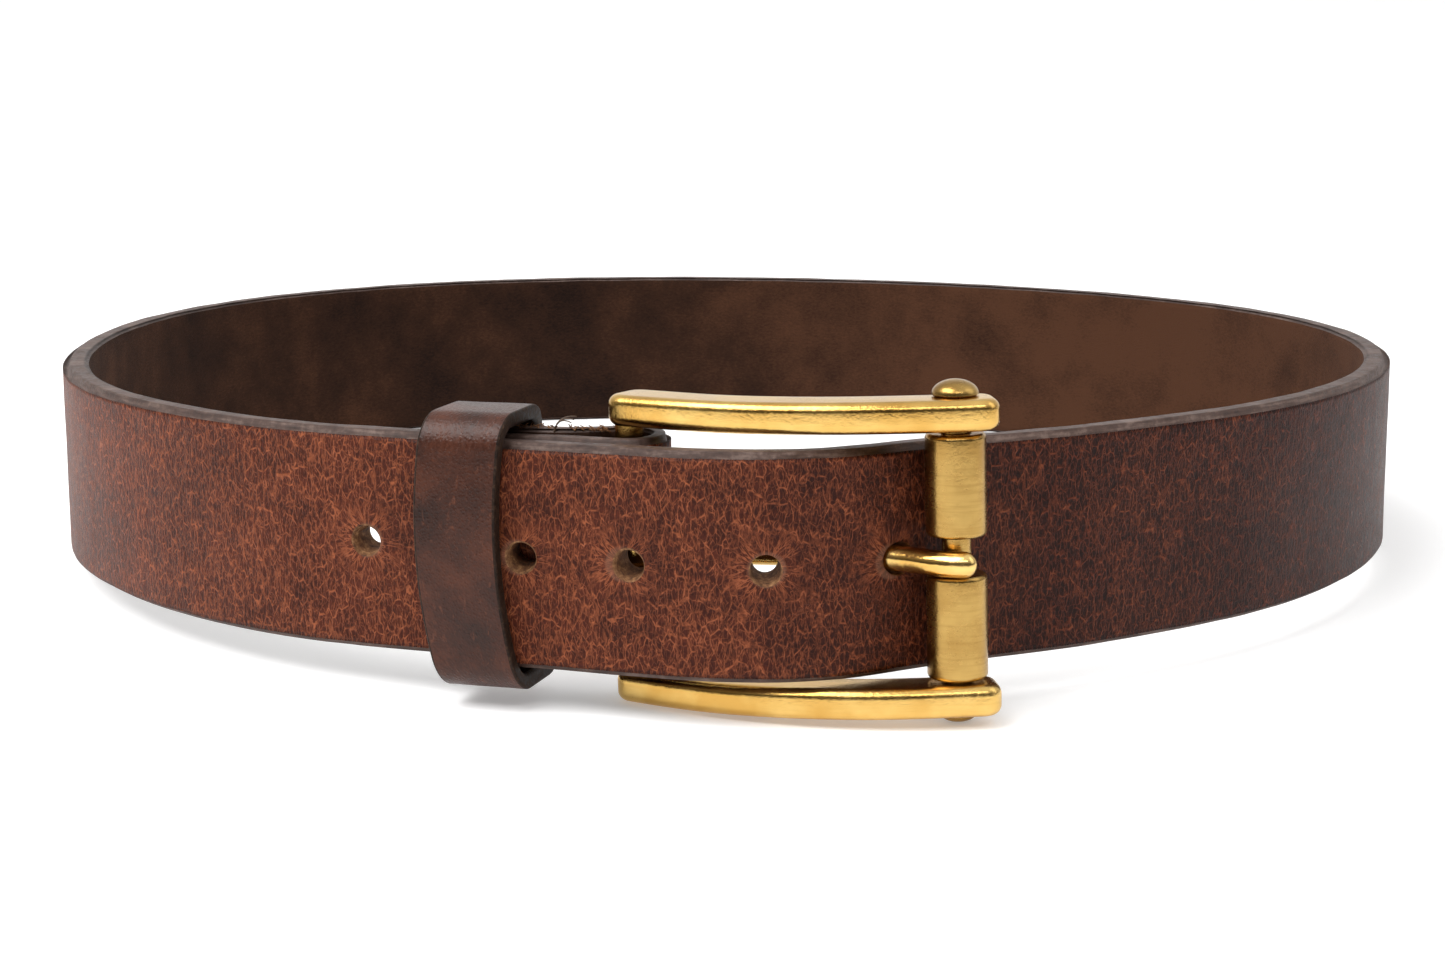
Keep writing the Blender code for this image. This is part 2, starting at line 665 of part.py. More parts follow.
def make_keeper(datum):
    """The keeper, a ring of leather butted at its back and closed by two staples."""
    ring, back = keeper_ring()
    half = KEEPER_LENGTH / 2
    bm = ribbon([[keeper_point(n, -half, z), keeper_point(n, half, z)] for n, z in ring])
    keeper = add_piece("keeper", bm, datum, KEEPER_LEATHER)
    solidify(keeper, KEEPER_THICK)
    bevel(keeper, KEEPER_EDGE, 1)
    for side, along in (("left", -STAPLE_OFFSET), ("right", STAPLE_OFFSET)):
        path = staple_path(along, back)
        bm = tube_mesh("staple bed", path, [STAPLE_RADIUS + GAP] * len(path), 2)
        boolean(keeper, add_cutter(f"staple bed {side}", bm, datum), "DIFFERENCE")
        bm = tube_mesh("staple", path, [STAPLE_RADIUS] * len(path), 2)
        add_piece(f"keeper_staple_{side}", bm, datum, WIRE)


clear_scene()
PIECES = new_collection("leather belt")
CUTTERS = new_collection("cutters")


def main():
    strap_datum = Datum("strap middle", (0.0, 0.0, 0.0))
    heel_datum = Datum("heel bar axis", HEEL, leans=True)
    front_datum = Datum("front bar axis", FRONT, leans=True)
    point, normal = keeper_frame()[:2]
    keeper_datum = Datum("keeper turning point", point - normal * KEEPER_TURN_RADIUS)
    make_strap(strap_datum, heel_datum)
    make_threads(strap_datum)
    make_frame(heel_datum, front_datum)
    make_front_bar(front_datum)
    make_rollers(front_datum)
    make_prong(heel_datum)
    make_keeper(keeper_datum)


main()
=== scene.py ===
# %% [markdown]
# # A leather belt with a brass roller buckle
# The belt is a strap of thick vegetable-tanned cowhide, fastened in a loop. This file builds its looks
# around a fixed frame: the frame says where each piece is and how it moves, and the cells below give
# each piece its fine shape and its surface. Work goes from the camera, through the light, to the strap,
# the keeper, the stitching and the brass. Lengths are in millimetres until a mesh is made.

import math

import bmesh
import bpy
import numpy as np
from mathutils import Matrix, Vector, noise


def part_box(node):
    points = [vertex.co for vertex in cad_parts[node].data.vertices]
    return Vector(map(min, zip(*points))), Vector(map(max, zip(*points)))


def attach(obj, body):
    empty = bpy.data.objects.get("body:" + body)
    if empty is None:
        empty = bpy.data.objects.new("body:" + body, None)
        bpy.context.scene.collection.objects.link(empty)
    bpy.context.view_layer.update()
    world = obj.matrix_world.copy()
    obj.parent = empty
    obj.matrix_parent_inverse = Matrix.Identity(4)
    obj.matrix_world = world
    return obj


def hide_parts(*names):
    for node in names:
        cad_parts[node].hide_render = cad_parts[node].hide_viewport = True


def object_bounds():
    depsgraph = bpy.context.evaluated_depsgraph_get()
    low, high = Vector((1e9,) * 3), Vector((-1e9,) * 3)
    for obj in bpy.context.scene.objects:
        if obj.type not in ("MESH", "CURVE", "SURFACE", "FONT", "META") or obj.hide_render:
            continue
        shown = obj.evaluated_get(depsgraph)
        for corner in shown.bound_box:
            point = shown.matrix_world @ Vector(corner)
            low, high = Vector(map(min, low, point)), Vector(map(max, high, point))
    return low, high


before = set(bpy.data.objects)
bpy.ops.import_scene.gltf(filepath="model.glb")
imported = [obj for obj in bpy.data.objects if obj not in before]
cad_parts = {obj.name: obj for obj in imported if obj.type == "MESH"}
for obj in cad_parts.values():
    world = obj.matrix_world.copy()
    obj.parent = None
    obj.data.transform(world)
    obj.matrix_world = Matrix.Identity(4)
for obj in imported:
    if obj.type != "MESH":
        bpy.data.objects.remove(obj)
cad_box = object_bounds()
MM = 0.001
print("frame box in mm:", [[round(v / MM, 1) for v in corner] for corner in cad_box])

# %% [markdown]
# ## Where the strap runs
# In plan, the grain side of the strap is a line through a few points, laid in the strap's own axes:
# X along the buckle, Y towards the back of the loop, and zero height at the strap's lower edge. The
# frame's strap tells how far those axes are from the frame's own.

# %% The strap's line and its place in the frame
STRAP_WIDTH = 38.0
STRAP_THICK = 5.2
FOLD_THICK = 3.2
FOLD_ROOM = 1.0
RETURN_THICK = 4.2
RETURN_END_THICK = 2.6
RETURN_LIFT = 0.7
RETURN_START_X = -24.0
RETURN_END_X = -47.0
RETURN_TAPER = 14.0
GAP = 0.3
MIDDLE = STRAP_WIDTH / 2
BAR_RADIUS = 2.4
HEEL = Vector((-13.0, -132.6, MIDDLE))
FRONT = Vector((40.3, -146.4, MIDDLE))
LOOP_LINE = [
    (-19.0, -138.3), (-25.0, -137.0), (-36.0, -134.3), (-52.7, -129.0), (-71.0, -121.0), (-91.0, -106.5),
    (-109.9, -85.6), (-122.0, -65.4), (-130.2, -44.0), (-135.2, -22.1), (-137.5, 0.0),
    (-136.2, 33.9), (-127.4, 68.3), (-108.1, 100.3), (-77.6, 124.8), (-39.7, 137.6),
    (0.0, 138.5), (37.5, 130.0), (71.3, 114.7), (100.4, 93.2), (123.1, 66.0),
    (137.4, 34.2), (142.5, 0.0), (141.0, -23.1), (135.6, -45.8), (126.3, -67.7),
    (113.1, -88.1), (96.0, -106.2), (76.0, -121.0), (59.0, -131.5), (40.3, -140.2),
    (31.0, -145.6), (22.7, -150.1), (14.6, -152.3), (6.5, -152.7), (-1.6, -151.5),
    (-11.3, -148.9), (-24.6, -143.9), (-36.0, -140.25), (-47.0, -136.8),
]
BILLET_END_LENGTH = 11.0
BILLET_END_WIDTH = 12.0


def line_through(points, step):
    """Points about every step along a natural cubic through the given points."""
    knots = np.array(points, float)
    spans = np.hypot(*np.diff(knots, axis=0).T)
    count = len(knots)
    system, target = np.eye(count), np.zeros_like(knots)
    for i in range(1, count - 1):
        system[i, i - 1:i + 2] = spans[i - 1], 2 * (spans[i - 1] + spans[i]), spans[i]
        rise = (knots[i + 1] - knots[i]) / spans[i]
        target[i] = 6 * (rise - (knots[i] - knots[i - 1]) / spans[i - 1])
    bend = np.linalg.solve(system, target)
    line = []
    for i, span in enumerate(spans):
        pieces = max(1, round(span / step))
        for b in np.arange(pieces) / pieces:
            a = 1 - b
            curve = (a ** 3 - a) * bend[i] + (b ** 3 - b) * bend[i + 1]
            line.append(a * knots[i] + b * knots[i + 1] + curve * span ** 2 / 6)
    return np.array(line + [knots[-1]])


def left_of(line):
    """Unit normals to the left of travel, which is outward on the strap."""
    along = np.gradient(line, axis=0)
    along /= np.hypot(*along.T)[:, None]
    return np.column_stack([-along[:, 1], along[:, 0]])


def smooth(value, low, high):
    """0 below low, 1 above high, and an even change between."""
    share = np.clip((np.asarray(value, float) - low) / (high - low), 0.0, 1.0)
    return share * share * (3 - 2 * share)


def grain_line(step=0.5):
    """The grain side in plan, from the end of the fold to the billet's end."""
    away = Vector(LOOP_LINE[0]) - HEEL.xy
    radius = BAR_RADIUS + FOLD_ROOM + FOLD_THICK
    angle = math.atan2(away.y, away.x) + math.acos(radius / away.length)
    start = HEEL.xy + radius * Vector((math.cos(angle), math.sin(angle)))
    return line_through([tuple(start), *LOOP_LINE], step)


GRAIN = grain_line()
OUTWARD = left_of(GRAIN)
strap_low, strap_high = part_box("strap")
ORIGIN = Vector((GRAIN[:, 0].min() - strap_low.x / MM,
                 GRAIN[:, 1].max() - strap_high.y / MM,
                 -strap_low.z / MM))
print("the strap's axes start at", [round(-v, 2) for v in ORIGIN], "mm in the frame")

# %% [markdown]
# ## The camera
# The camera stands a little above the belt, half a metre away, with a short telephoto lens. It looks
# down about ten degrees, so the back of the loop shows over the front.

# %% Make the camera
CAMERA_PLACE = Vector((2.13, -560.29, 106.11))
CAMERA_PITCH = 0.1762
CAMERA_ROLL = -0.0044
LENS = 64.5


def to_frame(point):
    """A point in the strap's axes, in mm, as a point of the frame in metres."""
    return (Vector(point) - ORIGIN) * MM


camera = bpy.data.objects.new("camera", bpy.data.cameras.new("camera"))
bpy.context.scene.collection.objects.link(camera)
turn = Matrix.Rotation(math.pi / 2 - CAMERA_PITCH, 4, "X") @ Matrix.Rotation(CAMERA_ROLL, 4, "Z")
camera.matrix_world = Matrix.Translation(to_frame(CAMERA_PLACE)) @ turn
camera.data.lens = LENS
camera.data.sensor_width = 36.0
camera.data.clip_start = 0.01
bpy.context.scene.camera = camera
print("camera", [round(v, 3) for v in camera.location])

# %% [markdown]
# ## Colours and nodes
# Colours are written as the sRGB hex values that a colour picker shows, and one function turns them
# into the linear values that the shader works with. One small function adds a node to a material.

# %% Helpers for materials


def linear(code):
    """A #rrggbb colour as linear RGBA."""
    parts = [int(code[i:i + 2], 16) / 255 for i in (1, 3, 5)]
    return (*[c / 12.92 if c <= 0.04045 else ((c + 0.055) / 1.055) ** 2.4 for c in parts], 1.0)


def add_node(tree, kind, settings=None, links=None):
    """Add a node. A setting is an input's value or a property; a link is an input's source socket."""
    node = tree.nodes.new(kind)
    for name, value in (settings or {}).items():
        if isinstance(name, int) or name in node.inputs:
            node.inputs[name].default_value = value
        else:
            setattr(node, name, value)
    for name, source in (links or {}).items():
        tree.links.new(source, node.inputs[name])
    return node


def ramp(tree, source, stops, interpolation="LINEAR"):
    """A colour ramp with stops given as (place, colour)."""
    node = add_node(tree, "ShaderNodeValToRGB", links={"Fac": source})
    node.color_ramp.interpolation = interpolation
    while len(node.color_ramp.elements) < len(stops):
        node.color_ramp.elements.new(0.5)
    for element, (place, color) in zip(node.color_ramp.elements, stops):
        element.position = place
        element.color = color
    return node.outputs["Color"]


def new_material(name, **values):
    """A material with its Principled shader's own sockets set."""
    material = bpy.data.materials.new(name)
    material.use_nodes = True
    shader = material.node_tree.nodes["Principled BSDF"]
    for key, value in values.items():
        shader.inputs[key.replace("_", " ")].default_value = value
    return material, material.node_tree, shader


# %% [markdown]
# ## The studio
# The belt stands on a sheet of white acrylic that sweeps up behind it and glows a little, as a lit
# product table does, so its shadows stay faint. One broad soft light is above and to the left, and a
# weaker one to the right. The room is white above and behind the belt and dark on the camera's side.
# Polished metal needs that: with the same white on all sides it would look flat.

# %% Make the sheet and the lights


def resting_plane():
    """The plane under the belt: the face of its convex hull that is below its middle."""
    bm = bmesh.new()
    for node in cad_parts.values():
        for vert in node.data.vertices:
            bm.verts.new(vert.co)
    hull = bmesh.ops.convex_hull(bm, input=bm.verts)
    middle = sum((Vector(c) for c in cad_box), Vector()) / 2
    best = None
    for face in (f for f in hull["geom"] if isinstance(f, bmesh.types.BMFace)):
        normal = face.normal if face.normal.z > 0 else -face.normal
        point = face.verts[0].co
        away = middle.xy - point.xy
        height = point.z - normal.xy.dot(away) / max(normal.z, 1e-6)
        if normal.z > 0.9 and height < middle.z and (best is None or height > best[0]):
            flat = [v.co.xy - middle.xy for v in face.verts]
            turns = [a.x * b.y - a.y * b.x for a, b in zip(flat, flat[1:] + flat[:1])]
            if all(t >= 0 for t in turns) or all(t <= 0 for t in turns):
                best = (height, normal.copy())
    bm.free()
    return best


floor_height, floor_normal = resting_plane()
print("the sheet slopes", [round(v, 4) for v in floor_normal], "and is",
      round(floor_height / MM, 2), "mm high")


def make_sheet():
    """A white acrylic sheet that lies flat under the belt and curves up behind it."""
    half, back, bend, wall = 3.0, 0.9, 0.6, 2.0
    profile = [(-2.5, 0.0), (back, 0.0)]
    profile += [(back + bend * math.sin(a), bend - bend * math.cos(a))
                for a in np.radians(np.linspace(6, 90, 15))]
    profile.append((back + bend, bend + wall))
    verts = [(x, y, z) for y, z in profile for x in (-half, half)]
    faces = [(i, i + 1, i + 3, i + 2) for i in range(0, len(verts) - 2, 2)]
    mesh = bpy.data.meshes.new("paper sweep")
    mesh.from_pydata(verts, [], faces)
    mesh.shade_smooth()
    sheet = bpy.data.objects.new("paper_sweep", mesh)
    bpy.context.scene.collection.objects.link(sheet)
    turn = Vector((0, 0, 1)).rotation_difference(floor_normal)
    sheet.matrix_world = Matrix.Translation((0, 0, floor_height)) @ turn.to_matrix().to_4x4()
    material, tree, shader = new_material("lit white acrylic", Roughness=0.9)
    speck = add_node(tree, "ShaderNodeTexNoise", {"Scale": 60.0, "Detail": 3.0})
    color = ramp(tree, speck.outputs["Fac"], [(0.3, linear("#f1f1f1")), (0.7, linear("#f6f6f6"))])
    tree.links.new(color, shader.inputs["Base Color"])
    shader.inputs["Emission Color"].default_value = linear("#ffffff")
    shader.inputs["Emission Strength"].default_value = SHEET_GLOW
    mesh.materials.append(material)


def area_light(name, place, target, size, power, color=(1.0, 1.0, 1.0)):
    light = bpy.data.lights.new(name, "AREA")
    light.shape = "RECTANGLE"
    light.size, light.size_y = size
    light.energy = power
    light.color = color
    obj = bpy.data.objects.new(name, light)
    bpy.context.scene.collection.objects.link(obj)
    obj.location = place
    obj.rotation_euler = (Vector(target) - Vector(place)).to_track_quat("-Z", "Y").to_euler()


def make_world():
    """White above and behind, greyer towards the camera."""
    world = bpy.data.worlds.new("studio")
    bpy.context.scene.world = world
    world.use_nodes = True
    tree = world.node_tree
    where = add_node(tree, "ShaderNodeTexCoord")
    part = add_node(tree, "ShaderNodeSeparateXYZ", links={0: where.outputs["Generated"]})
    back = add_node(tree, "ShaderNodeMath", {"operation": "MULTIPLY_ADD", 1: 0.35, 2: 0.0},
                    {0: part.outputs["Y"]})
    both = add_node(tree, "ShaderNodeMath", {"operation": "ADD"}, {0: part.outputs["Z"], 1: back.outputs[0]})
    light_tone = ramp(tree, both.outputs[0],
                [(0.0, linear("#454240")), (0.30, linear("#a09e9c")), (0.75, linear("#ffffff"))])
    sky = tree.nodes["Background"]
    sky.inputs["Strength"].default_value = WORLD_STRENGTH
    tree.links.new(light_tone, sky.inputs["Color"])


WORLD_STRENGTH = 0.95
SHEET_GLOW = 0.27
make_sheet()
make_world()
area_light("soft box above left", (-0.55, -0.45, 0.95), (0, 0, 0.02), (0.9, 0.7), 12.0)
area_light("strip light high in front", (0.05, -0.75, 0.62), (0, -0.1, 0.03), (0.9, 0.10), 1.6)
area_light("soft box right", (0.9, -0.2, 0.6), (0, 0, 0.02), (0.5, 0.8), 1.3)
bpy.context.scene.view_settings.view_transform = "Standard"

# %% [markdown]
# ## The strap
# The strap is one length of leather, so it is one mesh. It could be an extruded curve, but a strap is
# worked by hand: its edges are bevelled and rubbed round, its buckle end is pared thin, and its holes
# are punched through. So a cross section with round corners is swept along the line, and thinned and
# narrowed as it goes. Sections are close together near the buckle, where the leather shows most.

# %% Sections along the strap
EDGE_BEVEL = 0.95
FLESH_BEVEL = 0.55
EDGE_CROWN = 0.06
FINE_STEP, FOLD_STEP, PLAIN_STEP = 0.7, 0.8, 2.2
FINE_FROM_X, FINE_TO_X = -66, 62
FRONT_LIMIT = -100
BILLET_START = 400
FOLD_START = math.radians(102.0)


def strap_course():
    """One row for each place along the strap: x and y of its middle, thickness, lift and width."""
    half = len(GRAIN) // 2
    first = np.arange(len(GRAIN)) < half
    front = GRAIN[:, 1] < FRONT_LIMIT
    grown = smooth(-GRAIN[:, 0], 15.0, 27.0)
    thick = np.where(first & front, FOLD_THICK + (STRAP_THICK - FOLD_THICK) * grown, STRAP_THICK)
    middle = GRAIN - OUTWARD * thick[:, None] / 2
    run = GRAIN[:, 0] - GRAIN[-1, 0]
    reach = np.clip(1 - run / BILLET_END_LENGTH, 0, 1) * (~first & front)
    width = BILLET_END_WIDTH + (STRAP_WIDTH - BILLET_END_WIDTH) * np.sqrt(1 - reach ** 2)
    loop = np.column_stack([middle, thick, np.zeros(len(GRAIN)), width])

    radius = BAR_RADIUS + FOLD_ROOM + FOLD_THICK / 2
    last = math.atan2(middle[0, 1] - HEEL.y, middle[0, 0] - HEEL.x)
    share = np.linspace(0, 1, 40)[:-1]
    angle = FOLD_START + (last - FOLD_START) * share
    count = len(share)
    fold = np.column_stack([HEEL.x + radius * np.cos(angle), HEEL.y + radius * np.sin(angle),
                            np.full(count, FOLD_THICK), RETURN_LIFT * (1 - share),
                            np.full(count, STRAP_WIDTH)])

    keep = first & front & (GRAIN[:, 0] > RETURN_END_X) & (GRAIN[:, 0] < RETURN_START_X)
    x = GRAIN[keep, 0]
    pared = RETURN_END_THICK + (RETURN_THICK - RETURN_END_THICK) * smooth(
        x, RETURN_END_X, RETURN_END_X + RETURN_TAPER)
    side = GRAIN[keep] - OUTWARD[keep] * (STRAP_THICK + GAP + pared / 2)[:, None]
    knots = [tuple(p) for p in side[::-1][::6]] + [tuple(fold[0, :2])]
    back = line_through(knots, 0.5)[:-1]
    back_thick = np.interp(back[:, 0], x[::-1], pared[::-1])
    back_thick += (FOLD_THICK - back_thick) * smooth(back[:, 0], x.max(), fold[0, 0])
    count = len(back)
    back = np.column_stack([back, back_thick, np.full(count, RETURN_LIFT), np.full(count, STRAP_WIDTH)])
    return np.vstack([back, fold, loop])


def resample(course):
    """The course at the steps that each stretch needs, with the distance along it."""
    along = np.r_[0, np.cumsum(np.hypot(*np.diff(course[:, :2], axis=0).T))]
    places = [0.0]
    while places[-1] < along[-1]:
        here = np.array([np.interp(places[-1], along, course[:, i]) for i in (0, 1)])
        step = PLAIN_STEP
        if here[1] < FRONT_LIMIT and FINE_FROM_X < here[0] < FINE_TO_X:
            step = FINE_STEP if places[-1] > BILLET_START else FOLD_STEP
        places.append(places[-1] + step)
    places[-1] = along[-1]
    places = np.array(places)
    return places, np.column_stack([np.interp(places, along, column) for column in course.T])


course = strap_course()
ALONG, SECTIONS = resample(course)
SIDE = left_of(SECTIONS[:, :2])
print("strap:", len(ALONG), "sections along", round(float(ALONG[-1])), "mm of leather")

# %% The cross section


def corner_points(u, z, radius_u, radius_z, first, count):
    """A quarter round about the inner corner at (u, z), from the angle first, turning clockwise."""
    angles = np.radians(np.linspace(first, first - 90.0, count))
    return [(u + radius_u * math.cos(a), z + radius_z * math.sin(a)) for a in angles]


def cross_section():
    """The section's outline as (share of half the thickness, height, part), clockwise from below."""
    half = STRAP_THICK / 2
    e, f, top = EDGE_BEVEL, FLESH_BEVEL, STRAP_WIDTH
    grain = [(half, z, "grain") for z in np.linspace(e, top - e, 48)]
    flesh = [(-half, z, "flesh") for z in np.linspace(top - f, f, 30)]
    upper = [(u, z, "edge") for u, z in corner_points(half - e, top - e, e, e, 0.0, 6)[1:]]
    upper += [(u, top + EDGE_CROWN * (1 - (u / half) ** 2), "edge")
              for u in np.linspace(half - e, f - half, 7)[1:-1]]
    upper += [(u, z, "edge") for u, z in corner_points(f - half, top - f, f, f, 90.0, 4)[:-1]]
    lower = [(u, top - z, "edge") for u, z, part in upper[::-1]]
    outline = grain + upper + flesh + lower
    return [(u / half, z, part) for u, z, part in outline]


SECTION = cross_section()
print("cross section:", len(SECTION), "points")

# %% [markdown]
# Real leather is never quite flat. Slow waves run along the strap, the billet is creased where it bends
# behind the front bar, and the edges wander a little. These are shapes, so they go into the mesh. The
# fine veins of the grain are far smaller than a face of the mesh, so the material makes those.

# %% Sweep the strap


def waves(s, z, seed):
    """Slow waves in the leather's surface, in mm. The keeper presses the leather flat under it."""
    slow = noise.noise(Vector((s / 26.0, z / 20.0, seed)))
    quick = noise.noise(Vector((s / 7.0, z / 9.0, seed + 5.0)))
    free = float(smooth(s, 70.0, 110.0) - smooth(s, ALONG[-1] - 45.0, ALONG[-1] - 25.0))
    return (0.16 * slow + 0.05 * quick) * (0.15 + 0.85 * free)


def front_crease(x, y, z):
    """Upright creases where the billet bends behind the front bar."""
    if y > FRONT_LIMIT or not 18.0 < x < 46.0:
        return 0.0
    sway = 1.2 * noise.noise(Vector((z / 8.0, x / 15.0, 3.0)))
    depth = float(smooth(x, 20.0, 33.0) - smooth(x, 38.0, 45.0))
    return -0.09 * depth * (0.5 + 0.5 * math.cos(2.1 * (x + sway)))


def sweep_strap():
    verts, marks = [], []
    for s, (x, y, thick, lift, width), (nx, ny) in zip(ALONG, SECTIONS, SIDE):
        for share, z, part in SECTION:
            off = share * thick / 2 + waves(s, z, 1.0 if share > 0 else 9.0) * share
            if share > 0.9:
                off += front_crease(x, y, z)
            drift = 0.10 * noise.noise(Vector((s / 9.0, 4.0 if z > MIDDLE else 8.0, share)))
            height = MIDDLE + (z - MIDDLE + drift) * width / STRAP_WIDTH + lift
            verts.append((x + nx * off, y + ny * off, max(height, -0.05)))
            marks.append((s, z))
    ring = len(SECTION)
    faces, parts = [], []
    for i in range(len(ALONG) - 1):
        for j in range(ring):
            k = (j + 1) % ring
            faces.append((i * ring + j, i * ring + k, (i + 1) * ring + k, (i + 1) * ring + j))
            pair = {SECTION[j][2], SECTION[k][2]}
            parts.append("edge" if "edge" in pair else pair.pop())
    faces += [tuple(range(ring))[::-1], tuple(range(len(verts) - ring, len(verts)))]
    parts += ["edge", "edge"]
    mesh = bpy.data.meshes.new("strap leather")
    mesh.from_pydata([to_frame(v) for v in verts], [], faces)
    return mesh, parts, marks


STRAP_SLOTS = ["grain", "flesh", "edge", "cut"]
strap_mesh, strap_parts, strap_marks = sweep_strap()
for polygon, part in zip(strap_mesh.polygons, strap_parts):
    polygon.material_index = STRAP_SLOTS.index(part)
    polygon.use_smooth = True
strap_uv = strap_mesh.uv_layers.new(name="millimetres")
for loop in strap_mesh.loops:
    strap_uv.data[loop.index].uv = strap_marks[loop.vertex_index]
strap = bpy.data.objects.new("strap_leather", strap_mesh)
bpy.context.scene.collection.objects.link(strap)
print("strap mesh:", len(strap_mesh.polygons), "faces")

# %% [markdown]
# ## How leather looks
# The strap is dyed and waxed hide. Its grain side is pulled up: where hide is bent, dye and wax part and
# a net of fine pale veins shows on the dark ground. Two nets of Voronoi cells make the veins, one coarse
# and one fine, and noise breaks them up so that they come and go. The veins run upright, because a strap
# is bent along its length. The flesh side is a short nap with no veins. The edge is burnished, darker and
# smoother, and a cut through the strap shows the tan middle of the hide. Measures are in millimetres,
# carried by the mesh's own map of distance along the strap and height.

# %% Pieces that the leather materials share


def add_map(tree, name="millimetres", scale=(1.0, 1.0, 1.0)):
    """The mesh's map in mm, scaled: a scale of 1 / n makes cells n mm wide."""
    source = add_node(tree, "ShaderNodeUVMap", {"uv_map": name})
    return add_node(tree, "ShaderNodeMapping", {"Scale": scale}, {"Vector": source.outputs[0]}).outputs[0]


def add_noise(tree, place, scale, detail=3.0, roughness=0.55, distortion=0.0):
    settings = {"Scale": scale, "Detail": detail, "Roughness": roughness, "Distortion": distortion}
    return add_node(tree, "ShaderNodeTexNoise", settings, {"Vector": place}).outputs["Fac"]


def add_math(tree, operation, first, second, clamp=False):
    """A Math node. Each of its two inputs is a socket or a number."""
    node = add_node(tree, "ShaderNodeMath", {"operation": operation, "use_clamp": clamp})
    for i, value in enumerate((first, second)):
        if isinstance(value, (int, float)):
            node.inputs[i].default_value = value
        else:
            tree.links.new(value, node.inputs[i])
    return node.outputs[0]


def add_range(tree, value, low, high, to_low=0.0, to_high=1.0):
    """The value from low to high made an even change between two others."""
    settings = {"From Min": low, "From Max": high, "To Min": to_low, "To Max": to_high,
                "interpolation_type": "SMOOTHSTEP"}
    return add_node(tree, "ShaderNodeMapRange", settings, {"Value": value}).outputs["Result"]


def add_sum(tree, *parts):
    """The sum of (socket, weight) pairs."""
    total = None
    for source, weight in parts:
        scaled = add_math(tree, "MULTIPLY", source, weight)
        total = scaled if total is None else add_math(tree, "ADD", total, scaled)
    return total


def add_mix(tree, share, first, second, blend="MIX"):
    """Two colours mixed. Each is a socket or a linear colour."""
    node = add_node(tree, "ShaderNodeMix", {"data_type": "RGBA", "blend_type": blend})
    for i, value in ((0, share), (6, first), (7, second)):
        if isinstance(value, (int, float, tuple)):
            node.inputs[i].default_value = value
        else:
            tree.links.new(value, node.inputs[i])
    return node.outputs[2]


def add_veins(tree, place, cell, width, seed):
    """A net of veins round cells of the given size in mm: 1 on a vein and 0 away from it."""
    warp = add_node(tree, "ShaderNodeTexNoise", {"Scale": 0.45 / cell[0], "Detail": 3.0}, {"Vector": place})
    shift = add_node(tree, "ShaderNodeVectorMath", {"operation": "MULTIPLY_ADD", 1: (cell[0] * 0.9,) * 3},
                     {0: warp.outputs["Color"], 2: place})
    cells = add_node(tree, "ShaderNodeMapping",
                     {"Scale": (1 / cell[0], 1 / cell[1], 1.0), "Location": (seed, seed, 0)},
                     {"Vector": shift.outputs[0]})
    edge = add_node(tree, "ShaderNodeTexVoronoi", {"feature": "DISTANCE_TO_EDGE", "Scale": 1.0},
                    {"Vector": cells.outputs[0]})
    return add_range(tree, edge.outputs["Distance"], 0.0, width, 1.0, 0.0)


def add_bumps(tree, shader, layers):
    """Bumps laid over each other: each layer is a height and its depth in mm."""
    normal = None
    for height, depth in layers:
        bump = add_node(tree, "ShaderNodeBump", {"Strength": 1.0, "Distance": depth * MM}, {"Height": height})
        if normal:
            tree.links.new(normal, bump.inputs["Normal"])
        normal = bump.outputs["Normal"]
    tree.links.new(normal, shader.inputs["Normal"])


# %% The grain side


def add_ridges(tree, place, scale, width, detail, seed):
    """Thin wandering lines: 1 on a line and 0 away from it. Each scale is lines per mm."""
    warp = add_node(tree, "ShaderNodeMapping", {"Scale": (*scale, 1.0), "Location": (seed, seed, 0.0)},
                    {"Vector": place})
    level = add_noise(tree, warp.outputs[0], 1.0, detail, 0.55, 0.5)
    off = add_math(tree, "ABSOLUTE", add_math(tree, "SUBTRACT", level, 0.5), 0.0)
    return add_range(tree, off, 0.0, width, 1.0, 0.0)


